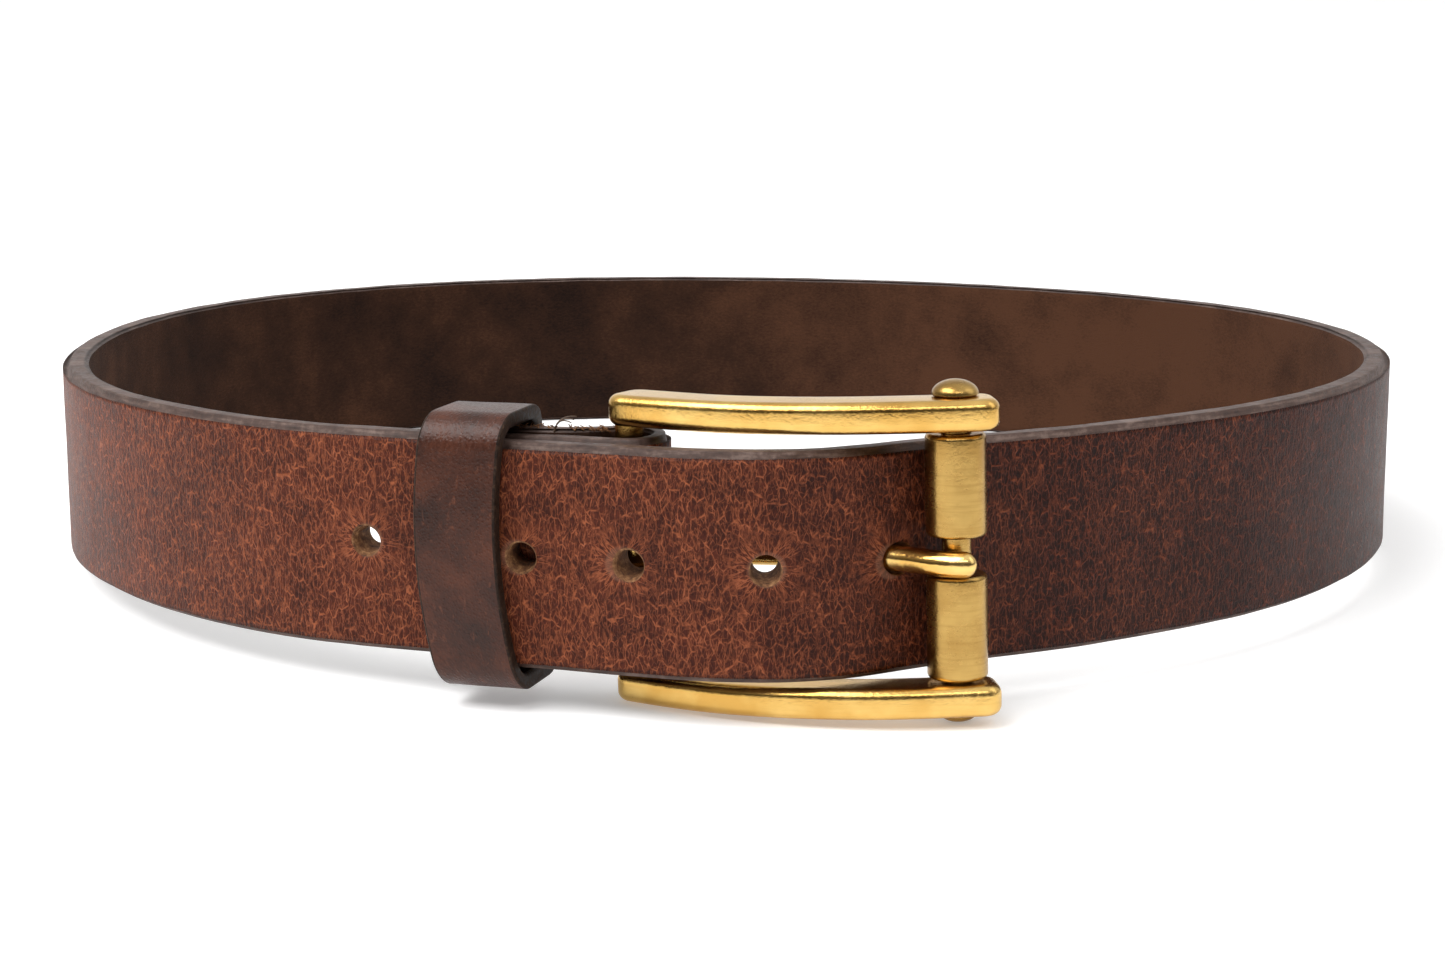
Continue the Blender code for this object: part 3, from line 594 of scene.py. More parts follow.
def grain_leather():
    material, tree, shader = new_material("waxed cowhide grain", IOR=1.45, Specular_IOR_Level=0.16)
    place = add_map(tree)
    light_tone = add_node(tree, "ShaderNodeAttribute", {"attribute_name": "light_tone"}).outputs["Fac"]
    cloud = add_noise(tree, place, 0.055, 3.0, 0.5)
    patch = add_noise(tree, place, 0.20, 4.0, 0.6)
    fine = add_noise(tree, add_map(tree, scale=(1.0, 0.6, 1.0)), 1.5, 4.0, 0.65)
    broken = add_range(tree, add_noise(tree, place, 0.7, 3.0, 0.6), 0.38, 0.60, 0.2, 1.0)
    coarse = add_math(tree, "MULTIPLY", add_veins(tree, place, (1.35, 3.4), 0.085, 3.0), broken)
    upright = add_ridges(tree, place, (0.75, 0.20), 0.035, 2.0, 5.0)
    small = add_math(tree, "MULTIPLY", add_veins(tree, place, (0.8, 1.6), 0.10, 11.0),
                     add_range(tree, fine, 0.35, 0.65, 0.3, 0.9))

    hole_place = add_map(tree, "from hole")
    away = add_node(tree, "ShaderNodeVectorMath", {"operation": "LENGTH"}, {0: hole_place}).outputs["Value"]
    near_hole = add_range(tree, away, HOLE_RADIUS, HOLE_RADIUS + 6.0, 1.0, 0.0)
    part = add_node(tree, "ShaderNodeSeparateXYZ", links={0: hole_place})
    angle = add_math(tree, "ARCTAN2", part.outputs["Y"], part.outputs["X"])
    spokes = add_node(tree, "ShaderNodeCombineXYZ", {"Z": 0.0},
                      {"X": add_math(tree, "MULTIPLY", angle, 2.4),
                       "Y": add_math(tree, "MULTIPLY", away, 0.12)})
    rays = add_ridges(tree, spokes.outputs[0], (1.7, 1.7), 0.055, 2.0, 8.0)
    rays = add_math(tree, "MULTIPLY", rays, near_hole)

    # The light_tone share is painted light: the grain side lighter on the left and darker on the right.
    lightness = add_sum(tree, (cloud, 0.25), (patch, 0.3), (fine, 0.45), (light_tone, 0.22))
    color = ramp(tree, lightness, [(0.30, linear("#170704")), (0.46, linear("#32130a")),
                                   (0.60, linear("#4c2013")), (0.80, linear("#652f1e"))])
    pale = add_math(tree, "MAXIMUM", coarse, add_math(tree, "MULTIPLY", upright, 0.55))
    pale = add_math(tree, "MAXIMUM", pale, add_math(tree, "MULTIPLY", small, 0.55))
    plain = add_math(tree, "SUBTRACT", 1.0, add_math(tree, "MULTIPLY", near_hole, 0.5))
    pale = add_math(tree, "MAXIMUM", add_math(tree, "MULTIPLY", pale, plain), rays)
    vein_color = ramp(tree, lightness,
                      [(0.32, linear("#622c1a")), (0.58, linear("#a45c3a")), (0.85, linear("#c08160"))])
    color = add_mix(tree, add_math(tree, "MULTIPLY", pale, 0.8), color, vein_color)
    # A painted highlight: a lighter ring on the raised rim round each hole.
    hole_rim_highlight = add_range(tree, away, HOLE_RADIUS, HOLE_RADIUS + 0.6, 0.3, 0.0)
    color = add_mix(tree, hole_rim_highlight, color, linear("#8a6450"))
    tree.links.new(color, shader.inputs["Base Color"])

    dull = add_sum(tree, (patch, 0.2), (fine, 0.2))
    tree.links.new(add_math(tree, "ADD", dull, 0.26), shader.inputs["Roughness"])
    pebble = add_noise(tree, place, 2.0, 3.0, 0.6)
    add_bumps(tree, shader, [(pale, 0.06), (pebble, 0.14), (patch, 0.25)])
    return material


# %% The flesh side, the edge and the cuts


def flesh_leather():
    material, tree, shader = new_material("cowhide flesh side", Roughness=0.88, IOR=1.45,
                                          Specular_IOR_Level=0.15)
    place = add_map(tree)
    cloud = add_noise(tree, place, 0.05, 4.0, 0.6)
    nap = add_noise(tree, add_map(tree, scale=(1.0, 1.8, 1.0)), 1.1, 5.0, 0.7, 0.6)
    # Painted shade: the inner flesh side darker on the left, which faces away from the main light, lighter on
    # the right.
    light_tone = add_node(tree, "ShaderNodeAttribute", {"attribute_name": "light_tone"}).outputs["Fac"]
    both = add_sum(tree, (cloud, 0.6), (nap, 0.4))
    both = add_math(tree, "SUBTRACT", both, add_math(tree, "MULTIPLY", light_tone, 0.22))
    color = ramp(tree, both, [(0.32, linear("#190d08")), (0.5, linear("#311d12")), (0.68, linear("#4b2f1f"))])
    tree.links.new(color, shader.inputs["Base Color"])
    fibre = add_noise(tree, add_map(tree, scale=(1.0, 1.6, 1.0)), 2.4, 4.0, 0.7, 1.2)
    add_bumps(tree, shader, [(nap, 0.14), (fibre, 0.10)])
    return material


def edge_leather():
    material, tree, shader = new_material("burnished leather edge", IOR=1.5, Specular_IOR_Level=0.3)
    place = add_node(tree, "ShaderNodeTexCoord").outputs["Object"]
    streak = add_noise(tree, add_map(tree, scale=(0.12, 1.0, 1.0)), 1.0, 4.0, 0.6)
    grit = add_noise(tree, place, 0.9 / MM, 4.0, 0.65)
    both = add_sum(tree, (streak, 0.6), (grit, 0.4))
    color = ramp(tree, both, [(0.34, linear("#2a1c17")), (0.5, linear("#4c3a33")), (0.7, linear("#7d6a61"))])
    tree.links.new(color, shader.inputs["Base Color"])
    tree.links.new(add_range(tree, grit, 0.3, 0.7, 0.42, 0.66), shader.inputs["Roughness"])
    add_bumps(tree, shader, [(streak, 0.10), (grit, 0.09)])
    return material


def cut_leather():
    material, tree, shader = new_material("raw cut leather", Roughness=0.85, IOR=1.5)
    place = add_node(tree, "ShaderNodeTexCoord").outputs["Object"]
    fibre = add_noise(tree, place, 1.1 / MM, 5.0, 0.7)
    color = ramp(tree, fibre,
                 [(0.32, linear("#3a2113")), (0.52, linear("#78502f")), (0.7, linear("#ab8055"))])
    tree.links.new(color, shader.inputs["Base Color"])
    add_bumps(tree, shader, [(fibre, 0.15)])
    return material


HOLE_RADIUS = 2.65
leathers = [grain_leather(), flesh_leather(), edge_leather(), cut_leather()]
print("leathers:", [m.name for m in leathers])

# %% [markdown]
# ## Cuts in the strap
# A punch takes round plugs out of the strap, a chisel makes the prong's slot in the fold, and a groover
# sinks a channel for the thread. Cutting solids out of the mesh makes clean walls with their own
# surface: the cutters' faces carry the raw leather on to the strap.

# %% Solids to cut with
BILLET_HOLES_X = (-31.0, -13.3, 9.2)
BASE_HOLE_X = -58.6
PRONG_RADIUS = 2.15
PRONG_LINE = [(-13.0, -132.6), (2.0, -136.2), (16.0, -139.6), (27.0, -143.4), (33.5, -147.5), (38.0, -150.9),
              (41.0, -151.8)]
PRONG_HOLE_FROM, PRONG_HOLE_TO, PRONG_HOLE_ROOM = 19.0, 34.0, 0.65
PUNCH_RISE = 0.85
PUNCH_SPREADS = (0.3, 0.2, -0.1, -0.5)
SLOT_END_X, SLOT_FRONT_X, SLOT_RADIUS = -22.0, -2.0, 3.75
SLOT_OUTSIDE, SLOT_INSIDE, SLOT_SLOPE = -138.4, -118.0, 0.31
LEAN = Matrix.Rotation(math.radians(-1.2), 4, "Y")
LEAN_PIVOT = Vector((14.0, 0.0, MIDDLE))


def lean(point):
    """A point of the buckle, which leans a little to the right about its pivot."""
    return LEAN_PIVOT + LEAN @ (Vector(point) - LEAN_PIVOT)


def station_at(x, on_base):
    """The point and outward side of the grain line at x, on the base or on the billet."""
    half = len(GRAIN) // 2
    front = np.flatnonzero((GRAIN[:, 1] < FRONT_LIMIT) & ((np.arange(len(GRAIN)) < half) == on_base))
    i = front[np.argmin(np.abs(GRAIN[front, 0] - x))]
    return Vector((*GRAIN[i], 0.0)), Vector((*OUTWARD[i], 0.0))


def tube(path, radii, sides, caps=True):
    """Vertices and faces of a tube through path. Each radius is a number or (across, upright)."""
    line = np.array([tuple(p) for p in path], float)
    tangents = np.gradient(line, axis=0)
    verts, faces = [], []
    for p, t, r in zip(line, tangents, radii):
        t = Vector(t).normalized()
        seed = Vector((0, 0, 1)) if abs(t.z) < 0.85 else Vector((1, 0, 0))
        a = t.cross(seed).normalized()
        b = a.cross(t)
        ra, rb = r if isinstance(r, tuple) else (r, r)
        for k in range(sides):
            turn = 2 * math.pi * k / sides
            verts.append(Vector(p) + a * ra * math.cos(turn) + b * rb * math.sin(turn))
    for i in range(len(line) - 1):
        for k in range(sides):
            j = (k + 1) % sides
            faces.append((i * sides + k, i * sides + j, (i + 1) * sides + j, (i + 1) * sides + k))
    if caps:
        faces += [tuple(range(sides))[::-1], tuple(range(len(verts) - sides, len(verts)))]
    return verts, faces


def mesh_object(name, verts, faces, place=to_frame):
    """An object from points in the strap's axes, smooth and with its faces turned outward."""
    mesh = bpy.data.meshes.new(name)
    mesh.from_pydata([place(v) for v in verts], [], faces)
    bm = bmesh.new()
    bm.from_mesh(mesh)
    bmesh.ops.recalc_face_normals(bm, faces=bm.faces)
    bm.to_mesh(mesh)
    bm.free()
    mesh.shade_smooth()
    obj = bpy.data.objects.new(name, mesh)
    bpy.context.scene.collection.objects.link(obj)
    return obj


def join_parts(parts):
    """Several (verts, faces) as one."""
    verts, faces = [], []
    for more, sides in parts:
        faces += [tuple(i + len(verts) for i in side) for side in sides]
        verts += more
    return verts, faces


def cutters():
    solids = []
    for x, on_base in [(x, False) for x in BILLET_HOLES_X] + [(BASE_HOLE_X, True)]:
        point, out = station_at(x, on_base)
        point.z = MIDDLE
        up = Vector((0, 0, PUNCH_RISE))
        ends = [point + out * 2.0, point + out * 0.02, point - out * 0.45, point - out * 5.4 + up]
        solids.append(tube(ends, [HOLE_RADIUS + spread for spread in PUNCH_SPREADS], 56))
    line = line_through(PRONG_LINE, 1.0)
    path = [lean((x, y, MIDDLE)) for x, y in line if PRONG_HOLE_FROM < x < PRONG_HOLE_TO]
    solids.append(tube(path, [PRONG_RADIUS + PRONG_HOLE_ROOM] * len(path), 40))
    r = SLOT_RADIUS
    outline = [(SLOT_END_X + r + r * math.cos(a), MIDDLE + r * math.sin(a))
               for a in np.radians(np.linspace(90, 270, 17))]
    outline += [(SLOT_FRONT_X, MIDDLE - r), (SLOT_FRONT_X, MIDDLE + r)]
    count = len(outline)
    verts = [Vector((x, y - (x - SLOT_END_X) * SLOT_SLOPE, z))
             for y in (SLOT_OUTSIDE, SLOT_INSIDE) for x, z in outline]
    faces = [tuple(range(count))[::-1], tuple(range(count, 2 * count))]
    faces += [(i, (i + 1) % count, (i + 1) % count + count, i + count) for i in range(count)]
    solids.append((verts, faces))
    return solids


def cut(obj, solids):
    """Take solids out of obj. Their walls get obj's last material."""
    for i, (verts, faces) in enumerate(solids):
        tool = mesh_object(f"cutter {i}", verts, faces)
        for polygon in tool.data.polygons:
            polygon.material_index = len(obj.data.materials) - 1
        for material in obj.data.materials:
            tool.data.materials.append(material)
        change = obj.modifiers.new("cut", "BOOLEAN")
        change.operation, change.solver, change.object = "DIFFERENCE", "EXACT", tool
        change.material_mode = "INDEX"
        graph = bpy.context.evaluated_depsgraph_get()
        mesh = bpy.data.meshes.new_from_object(obj.evaluated_get(graph))
        obj.modifiers.clear()
        obj.data = mesh
        bpy.data.objects.remove(tool)


# %% Thread channels
STITCH_PITCH, STITCHES = 5.0, 6
THREAD_DEPTH = 0.5
CHANNEL_RADIUS = 0.74
THREAD_ROWS = {"near": -26.6, "far": -43.5}


def thread_faces(x):
    """The two faces' thread lines in plan for the row at x, as (point, outward)."""
    point, out = station_at(x, True)
    grown = float(smooth(x, RETURN_END_X, RETURN_END_X + RETURN_TAPER))
    stack = STRAP_THICK + GAP + RETURN_END_THICK + (RETURN_THICK - RETURN_END_THICK) * grown
    return [(point - out * THREAD_DEPTH, out), (point - out * (stack - THREAD_DEPTH), -out)]


def channels():
    solids = []
    reach = STITCH_PITCH * STITCHES / 2 + 1.2
    for x in THREAD_ROWS.values():
        for point, out in thread_faces(x):
            path = [point + Vector((0, 0, MIDDLE + z)) for z in np.linspace(-reach, reach, 9)]
            solids.append(tube(path, [CHANNEL_RADIUS] * 9, 14))
    return solids


for material in leathers:
    strap.data.materials.append(material)
cut(strap, cutters() + channels())
print("strap after cutting:", len(strap.data.polygons), "faces", [round(v / MM, 1) for v in strap.dimensions])

# %% [markdown]
# The grain material needs to know where the holes are, because a punch stretches the hide round each
# hole into fine spokes. So a second map holds each point's offset from the nearest hole. A second
# attribute holds painted light: the grain side lighter in front on the left, where the main light falls,
# and darker towards the right, and the flesh side shaded the other way round.

# %% Map the holes and the painted light
PRONG_HOLE_X = 28.5
BASE_HOLE_SHIFT = 0.9
SPOKE_REACH, NO_HOLE = 9.0, 99.0
hole_spots = []
for x, on_base in [(x, False) for x in BILLET_HOLES_X] + [(BASE_HOLE_X, True), (PRONG_HOLE_X, False)]:
    stretch = np.flatnonzero((SECTIONS[:, 1] < FRONT_LIMIT) & ((ALONG > BILLET_START) != on_base))
    middle_x = x + BASE_HOLE_SHIFT if on_base else x
    hole_spots.append((float(ALONG[stretch[np.argmin(np.abs(SECTIONS[stretch, 0] - middle_x))]]), MIDDLE))
hole_spots = np.array(hole_spots)

uv_layer = strap.data.uv_layers["millimetres"]
flat = np.zeros(len(strap.data.loops) * 2)
uv_layer.data.foreach_get("uv", flat)
spots = flat.reshape(-1, 2)
offsets = spots[:, None, :] - hole_spots[None]
nearest = np.argmin(np.hypot(offsets[..., 0], offsets[..., 1]), axis=1)
offset = offsets[np.arange(len(spots)), nearest]
offset[np.hypot(*offset.T) > SPOKE_REACH] = NO_HOLE
hole_layer = strap.data.uv_layers.new(name="from hole")
hole_layer.data.foreach_set("uv", offset.ravel())

# Painted light along the strap: lighter on the left, where the main light falls, darker towards the right.
PAINTED_LIGHT_PLACES = [(-145, 0.0), (-75, 0.15), (-30, 0.2), (0, 0.05),
               (25, -0.25), (45, -0.5), (100, -0.8), (145, -0.7)]
co = np.zeros(len(strap.data.vertices) * 3)
strap.data.vertices.foreach_get("co", co)
place_x = co.reshape(-1, 3)[:, 0] / MM + ORIGIN.x
light_tone = strap.data.attributes.new("light_tone", "FLOAT", "POINT")
light_tone.data.foreach_set("value", np.interp(place_x, *zip(*PAINTED_LIGHT_PLACES)))
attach(strap, "strap")
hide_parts("strap")
print("holes at", [round(s) for s, z in hole_spots], "mm along the strap")

# %% [markdown]
# ## The keeper
# The keeper is a band of thinner, harder leather, bent round the three layers and butted behind them.
# It could be a rounded box with a hole, but then its sides could not swell. So its middle line is
# followed round, and a flat cross section with round corners is swept along it.

# %% Sweep the keeper
KEEPER_X = -39.6
KEEPER_LENGTH = 14.4
KEEPER_THICK = 2.7
KEEPER_ROOM = 0.45
KEEPER_BOTTOM, KEEPER_TOP = -1.3, 40.0
KEEPER_CORNER = 4.8
KEEPER_BULGE = 0.8
KEEPER_TWIST = math.radians(3.0)
KEEPER_BOW = 1.5
STAPLE_SPAN, STAPLE_TOE, STAPLE_RADIUS = 8.0, 2.2, 0.5
keeper_spot, keeper_out = station_at(KEEPER_X, True)
keeper_right = Vector((-keeper_out.y, keeper_out.x, 0.0))
KEEPER_BACK = -(STRAP_THICK + GAP + RETURN_THICK + KEEPER_ROOM + KEEPER_THICK / 2)


def keeper_point(outward, along, height):
    """A point of the keeper, whose foot is twisted a little to the right."""
    rise = height - MIDDLE
    shift = along - rise * math.tan(KEEPER_TWIST) + KEEPER_BOW * (rise / MIDDLE) ** 2
    return keeper_spot + keeper_out * outward + keeper_right * shift + Vector((0, 0, height))


def keeper_line():
    """The keeper's middle line as (outward, height), from one butted end round to the other."""
    front = GAP + 0.15 + STRAP_THICK + KEEPER_ROOM + KEEPER_THICK / 2
    back, low, high = KEEPER_BACK, KEEPER_BOTTOM - KEEPER_THICK / 2, KEEPER_TOP + KEEPER_THICK / 2
    r = KEEPER_CORNER
    line = [(back, z) for z in np.linspace(MIDDLE + 0.3, high - r, 14)[:-1]]
    for n, z, first in ((back + r, high - r, 180.0), (front - r, high - r, 90.0)):
        line += corner_points(n, z, r, r, first, 11)
    reach, middle = (high - low) / 2 - r, (high + low) / 2
    for share in np.linspace(0, 1, 30)[1:-1]:
        line.append((front + KEEPER_BULGE * (1 - (1 - 2 * share) ** 2), middle + reach * (1 - 2 * share)))
    for n, z, first in ((front - r, low + r, 0.0), (back + r, low + r, -90.0)):
        line += corner_points(n, z, r, r, first, 11)
    line += [(back, z) for z in np.linspace(low + r, MIDDLE - 0.3, 14)[1:]]
    return np.array(line)


def make_keeper():
    line = keeper_line()
    out = left_of(line)
    half, thick, edge = KEEPER_LENGTH / 2, KEEPER_THICK / 2, 0.45
    section = [(a, thick, "grain") for a in np.linspace(edge - half, half - edge, 22)]
    section += [(half - edge + edge * math.sin(t), thick - edge + edge * math.cos(t), "edge")
                for t in np.radians([25, 50, 90])]
    section += [(half, u, "edge") for u in np.linspace(thick - edge, edge - thick, 6)[1:]]
    section += [(a, -thick, "flesh") for a in np.linspace(half - edge, edge - half, 14)]
    section += [(-half, u, "edge") for u in np.linspace(edge - thick, thick - edge, 6)]
    section += [(edge - half - edge * math.sin(t), thick - edge + edge * math.cos(t), "edge")
                for t in np.radians([65, 40, 20])]
    along = np.r_[0, np.cumsum(np.hypot(*np.diff(line, axis=0).T))]
    verts, marks, faces, parts = [], [], [], []
    for s, (n, z), (on, oz) in zip(along, line, out):
        for a, u, part in section:
            dent = 0.05 * noise.noise(Vector((s / 6.0, a / 5.0, 2.0 if u > 0 else 7.0)))
            sway = 0.10 * noise.noise(Vector((s / 9.0, 1.0 if a > 0 else 5.0, 0.0)))
            verts.append(keeper_point(n + on * (u + dent), a * (1 + sway / half), z + oz * (u + dent)))
            marks.append((s, a))
    ring = len(section)
    for i in range(len(line) - 1):
        for j in range(ring):
            k = (j + 1) % ring
            faces.append((i * ring + j, i * ring + k, (i + 1) * ring + k, (i + 1) * ring + j))
            pair = {section[j][2], section[k][2]}
            parts.append("edge" if "edge" in pair else pair.pop())
    faces += [tuple(range(ring))[::-1], tuple(range(len(verts) - ring, len(verts)))]
    parts += ["edge", "edge"]
    keeper = mesh_object("keeper_leather", verts, faces)
    layer = keeper.data.uv_layers.new(name="millimetres")
    for loop in keeper.data.loops:
        layer.data[loop.index].uv = marks[loop.vertex_index]
    for material in keeper_leathers:
        keeper.data.materials.append(material)
    for polygon, part in zip(keeper.data.polygons, parts):
        polygon.material_index = STRAP_SLOTS.index(part)
    return keeper


def keeper_grain():
    """Harder, smoother leather with a fine round pebble."""
    material, tree, shader = new_material("waxed calf grain", IOR=1.5, Specular_IOR_Level=0.28)
    place = add_map(tree)
    cloud = add_noise(tree, place, 0.09, 4.0, 0.6)
    speck = add_noise(tree, place, 1.6, 4.0, 0.7)
    scuff = add_noise(tree, add_map(tree, scale=(0.5, 1.0, 1.0)), 0.8, 5.0, 0.7, 0.8)
    scuff = add_range(tree, scuff, 0.55, 0.75)
    both = add_sum(tree, (cloud, 0.7), (speck, 0.3))
    color = ramp(tree, both, [(0.34, linear("#1f0e08")), (0.5, linear("#391b0f")), (0.68, linear("#542b19"))])
    color = add_mix(tree, add_math(tree, "MULTIPLY", scuff, 0.4), color, linear("#7a452d"))
    tree.links.new(color, shader.inputs["Base Color"])
    tree.links.new(add_range(tree, speck, 0.3, 0.7, 0.29, 0.43), shader.inputs["Roughness"])
    cells = add_node(tree, "ShaderNodeTexVoronoi", {"Scale": 1.9, "Randomness": 0.9}, {"Vector": place})
    pebble = add_range(tree, cells.outputs["Distance"], 0.1, 0.6, 1.0, 0.0)
    add_bumps(tree, shader, [(pebble, 0.035), (speck, 0.06)])
    return material


def keeper_edge():
    material, tree, shader = new_material("dyed leather edge", IOR=1.5, Specular_IOR_Level=0.15)
    place = add_node(tree, "ShaderNodeTexCoord").outputs["Object"]
    grit = add_noise(tree, place, 1.2 / MM, 4.0, 0.65)
    color = ramp(tree, grit,
                 [(0.35, linear("#170e09")), (0.55, linear("#2c1e16")), (0.75, linear("#4c382a"))])
    tree.links.new(color, shader.inputs["Base Color"])
    tree.links.new(add_range(tree, grit, 0.3, 0.7, 0.45, 0.7), shader.inputs["Roughness"])
    add_bumps(tree, shader, [(grit, 0.10)])
    return material


keeper_leathers = [keeper_grain(), leathers[1], keeper_edge(), leathers[3]]
keeper = make_keeper()
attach(keeper, "keeper")
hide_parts("keeper")
print("keeper", [round(v / MM, 1) for v in keeper.dimensions], "mm")

# %% [markdown]
# ## Staples and thread
# Two wire staples close the keeper at its back. The folded end is sewn with two rows of saddle stitches
# in waxed linen: each stitch is a short twisted cord that dips into an awl hole at both its ends.

# %% Make the staples and the stitches


def wire_metal():
    material, tree, shader = new_material("drawn steel wire", Metallic=1.0)
    place = add_node(tree, "ShaderNodeTexCoord").outputs["Object"]
    drawn = add_noise(tree, place, 1.5 / MM, 3.0, 0.6)
    color = ramp(tree, drawn, [(0.35, linear("#8f8b84")), (0.65, linear("#b9b5ae"))])
    tree.links.new(color, shader.inputs["Base Color"])
    tree.links.new(add_range(tree, drawn, 0.3, 0.7, 0.25, 0.42), shader.inputs["Roughness"])
    add_bumps(tree, shader, [(drawn, 0.02)])
    return material


def linen():
    material, tree, shader = new_material("waxed linen thread", IOR=1.5)
    place = add_node(tree, "ShaderNodeTexCoord").outputs["Object"]
    fibre = add_noise(tree, place, 3.0 / MM, 4.0, 0.7)
    color = ramp(tree, fibre, [(0.35, linear("#3a2a1e")), (0.65, linear("#6b5340"))])
    tree.links.new(color, shader.inputs["Base Color"])
    tree.links.new(add_range(tree, fibre, 0.3, 0.7, 0.5, 0.75), shader.inputs["Roughness"])
    add_bumps(tree, shader, [(fibre, 0.05)])
    return material


def make_staple(along):
    """One wire: its crown on the keeper's back, two legs through it, and toes turned inward."""
    out = KEEPER_BACK - KEEPER_THICK / 2 + 0.2
    inside = KEEPER_BACK + KEEPER_THICK / 2 - STAPLE_RADIUS - 0.15
    half, bend = STAPLE_SPAN / 2, 0.7
    one_side = [(inside, half - STAPLE_TOE), (inside, half - bend)]
    one_side += [(inside - bend + bend * math.cos(t), half - bend + bend * math.sin(t))
                 for t in np.radians([30, 60, 90])]
    one_side += [(out + bend - bend * math.sin(t), half - bend + bend * math.cos(t))
                 for t in np.radians([0, 30, 60])]
    one_side += [(out, half - bend - 0.3)]
    route = one_side + [(n, -z) for n, z in one_side[::-1]]
    path = [keeper_point(n, along, MIDDLE + z) for n, z in route]
    return tube(path, [STAPLE_RADIUS * 0.96] * len(path), 14)


def make_stitches(x):
    """One row of stitches on both faces, each of three strands twisted together."""
    parts = []
    low = MIDDLE - STITCH_PITCH * STITCHES / 2
    for point, out in thread_faces(x):
        across = Vector((-out.y, out.x, 0.0))
        for i in range(STITCHES):
            shares = np.linspace(0, 1, 17)
            for strand in range(3):
                path = []
                for t in shares:
                    turn = 2 * math.pi * (strand / 3 + 1.6 * t)
                    rise = 0.22 * math.sin(math.pi * t) ** 0.5 - 0.18
                    side = across * (0.19 * math.cos(turn) + 0.10 * (t - 0.5))
                    up = Vector((0, 0, low + STITCH_PITCH * (i + 0.06 + 0.88 * t)))
                    path.append(point + out * (rise + 0.19 * math.sin(turn)) + side + up)
                radii = [0.23 * (0.55 + 0.45 * math.sin(math.pi * t) ** 0.4) for t in shares]
                parts.append(tube(path, radii, 8))
    return join_parts(parts)


FIBRES = 70


def make_fibres():
    """Torn fibres along the return's upper edge, where the flesh side was pared away."""
    random = np.random.default_rng(7)
    parts = []
    for _ in range(FIBRES):
        x = random.uniform(-36.0, -16.0)
        point, out = station_at(x, True)
        depth = STRAP_THICK + GAP + random.uniform(0.3, 2.6)
        root = point - out * depth + Vector((0, 0, STRAP_WIDTH + RETURN_LIFT - 0.2))
        lean_way = Vector((random.uniform(-1.5, 1.5), random.uniform(-0.7, 0.7), random.uniform(0.6, 1.3)))
        curl = Vector((random.uniform(-0.5, 0.5), random.uniform(-0.5, 0.5), -0.35))
        path = [root + lean_way * t + curl * t * t for t in np.linspace(0, 1, 7)]
        width = random.uniform(0.10, 0.22)
        parts.append(tube(path, [width * (1 - 0.75 * t) for t in np.linspace(0, 1, 7)], 6))
    return join_parts(parts)


def make_loose_end():
    """The thread's frayed end: three strands that stand up from the fold and part."""
    point, out = station_at(-27.5, True)
    root = point - out * (STRAP_THICK + 0.6) + Vector((0, 0, STRAP_WIDTH - 0.4))
    parts = []
    for strand in range(3):
        part = (strand - 1) * 0.45
        path = []
        for t in np.linspace(0, 1, 14):
            curl = part * t * t
            rise = 3.0 * math.sin(1.9 * t)
            path.append(root + Vector((3.4 * t * t + curl, part * t - 0.9 * t, rise + curl)))
        parts.append(tube(path, [0.2 * (1 - 0.6 * t) for t in np.linspace(0, 1, 14)], 8))
    return join_parts(parts)


steel, thread = wire_metal(), linen()
fibres = mesh_object("torn_fibres", *make_fibres())
fibres.data.materials.append(leathers[3])
loose_end = mesh_object("frayed_thread", *make_loose_end())
loose_end.data.materials.append(thread)
LOOSE_PIECES = ((fibres, "strap", "strap_leather"), (loose_end, "thread_row_near", "linen_thread"))
for piece, node, finish in LOOSE_PIECES:
    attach(piece, "strap")
    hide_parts(node)
for side, along in (("left", -3.6), ("right", 3.6)):
    staple = mesh_object(f"staple_{side}", *make_staple(along))
    staple.data.materials.append(steel)
    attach(staple, "keeper")
    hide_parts(f"keeper_staple_{side}")
for row, x in THREAD_ROWS.items():
    stitches = mesh_object(f"stitches_{row}", *make_stitches(x))
    stitches.data.materials.append(thread)
    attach(stitches, "strap")
    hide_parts(f"thread_row_{row}")
print("staples and stitches made")

# %% [markdown]
# ## The brass
# The buckle's arms are cast, then filed and polished, so every edge is round and the bars are not quite
# straight. The rollers are cut from tube and turn on a pin whose ends are hammered over. Brass keeps a
# fine pitted skin from the mould, so the material has a small bump and an uneven polish. The arms are
# swept with a rounded square section; the turned pieces are profiles spun round their axis.

# %% Satin brass


def brass(name, low, high, skin, dark, light):
    material, tree, shader = new_material(name, Metallic=1.0)
    place = add_node(tree, "ShaderNodeTexCoord").outputs["Object"]
    cloud = add_noise(tree, place, 0.09 / MM, 3.0, 0.6)
    grain = add_noise(tree, place, 1.6 / MM, 4.0, 0.65)
    wear = add_noise(tree, place, 0.35 / MM, 4.0, 0.7, 0.5)
    color = ramp(tree, cloud, [(0.35, linear(dark)), (0.65, linear(light))])
    lines = add_node(tree, "ShaderNodeMapping", {"Scale": (0.1 / MM, 0.1 / MM, 2.2 / MM)}, {"Vector": place})
    turned_lines = add_noise(tree, lines.outputs[0], 1.0, 3.0, 0.6)
    color = add_mix(tree, add_range(tree, turned_lines, 0.45, 0.75, 0.0, 0.35), color, linear(dark))
    spots = add_range(tree, wear, 0.66, 0.78, 0.0, 0.35)
    color = add_mix(tree, spots, color, linear("#8a6428"))
    tree.links.new(color, shader.inputs["Base Color"])
    polish = add_range(tree, cloud, 0.3, 0.7, low, high)
    rough = add_math(tree, "ADD", polish, add_math(tree, "MULTIPLY", grain, 0.08))
    rough = add_math(tree, "ADD", rough, add_math(tree, "MULTIPLY", turned_lines, 0.08))
    tree.links.new(rough, shader.inputs["Roughness"])
    add_bumps(tree, shader, [(wear, 0.06), (grain, skin)])
    return material


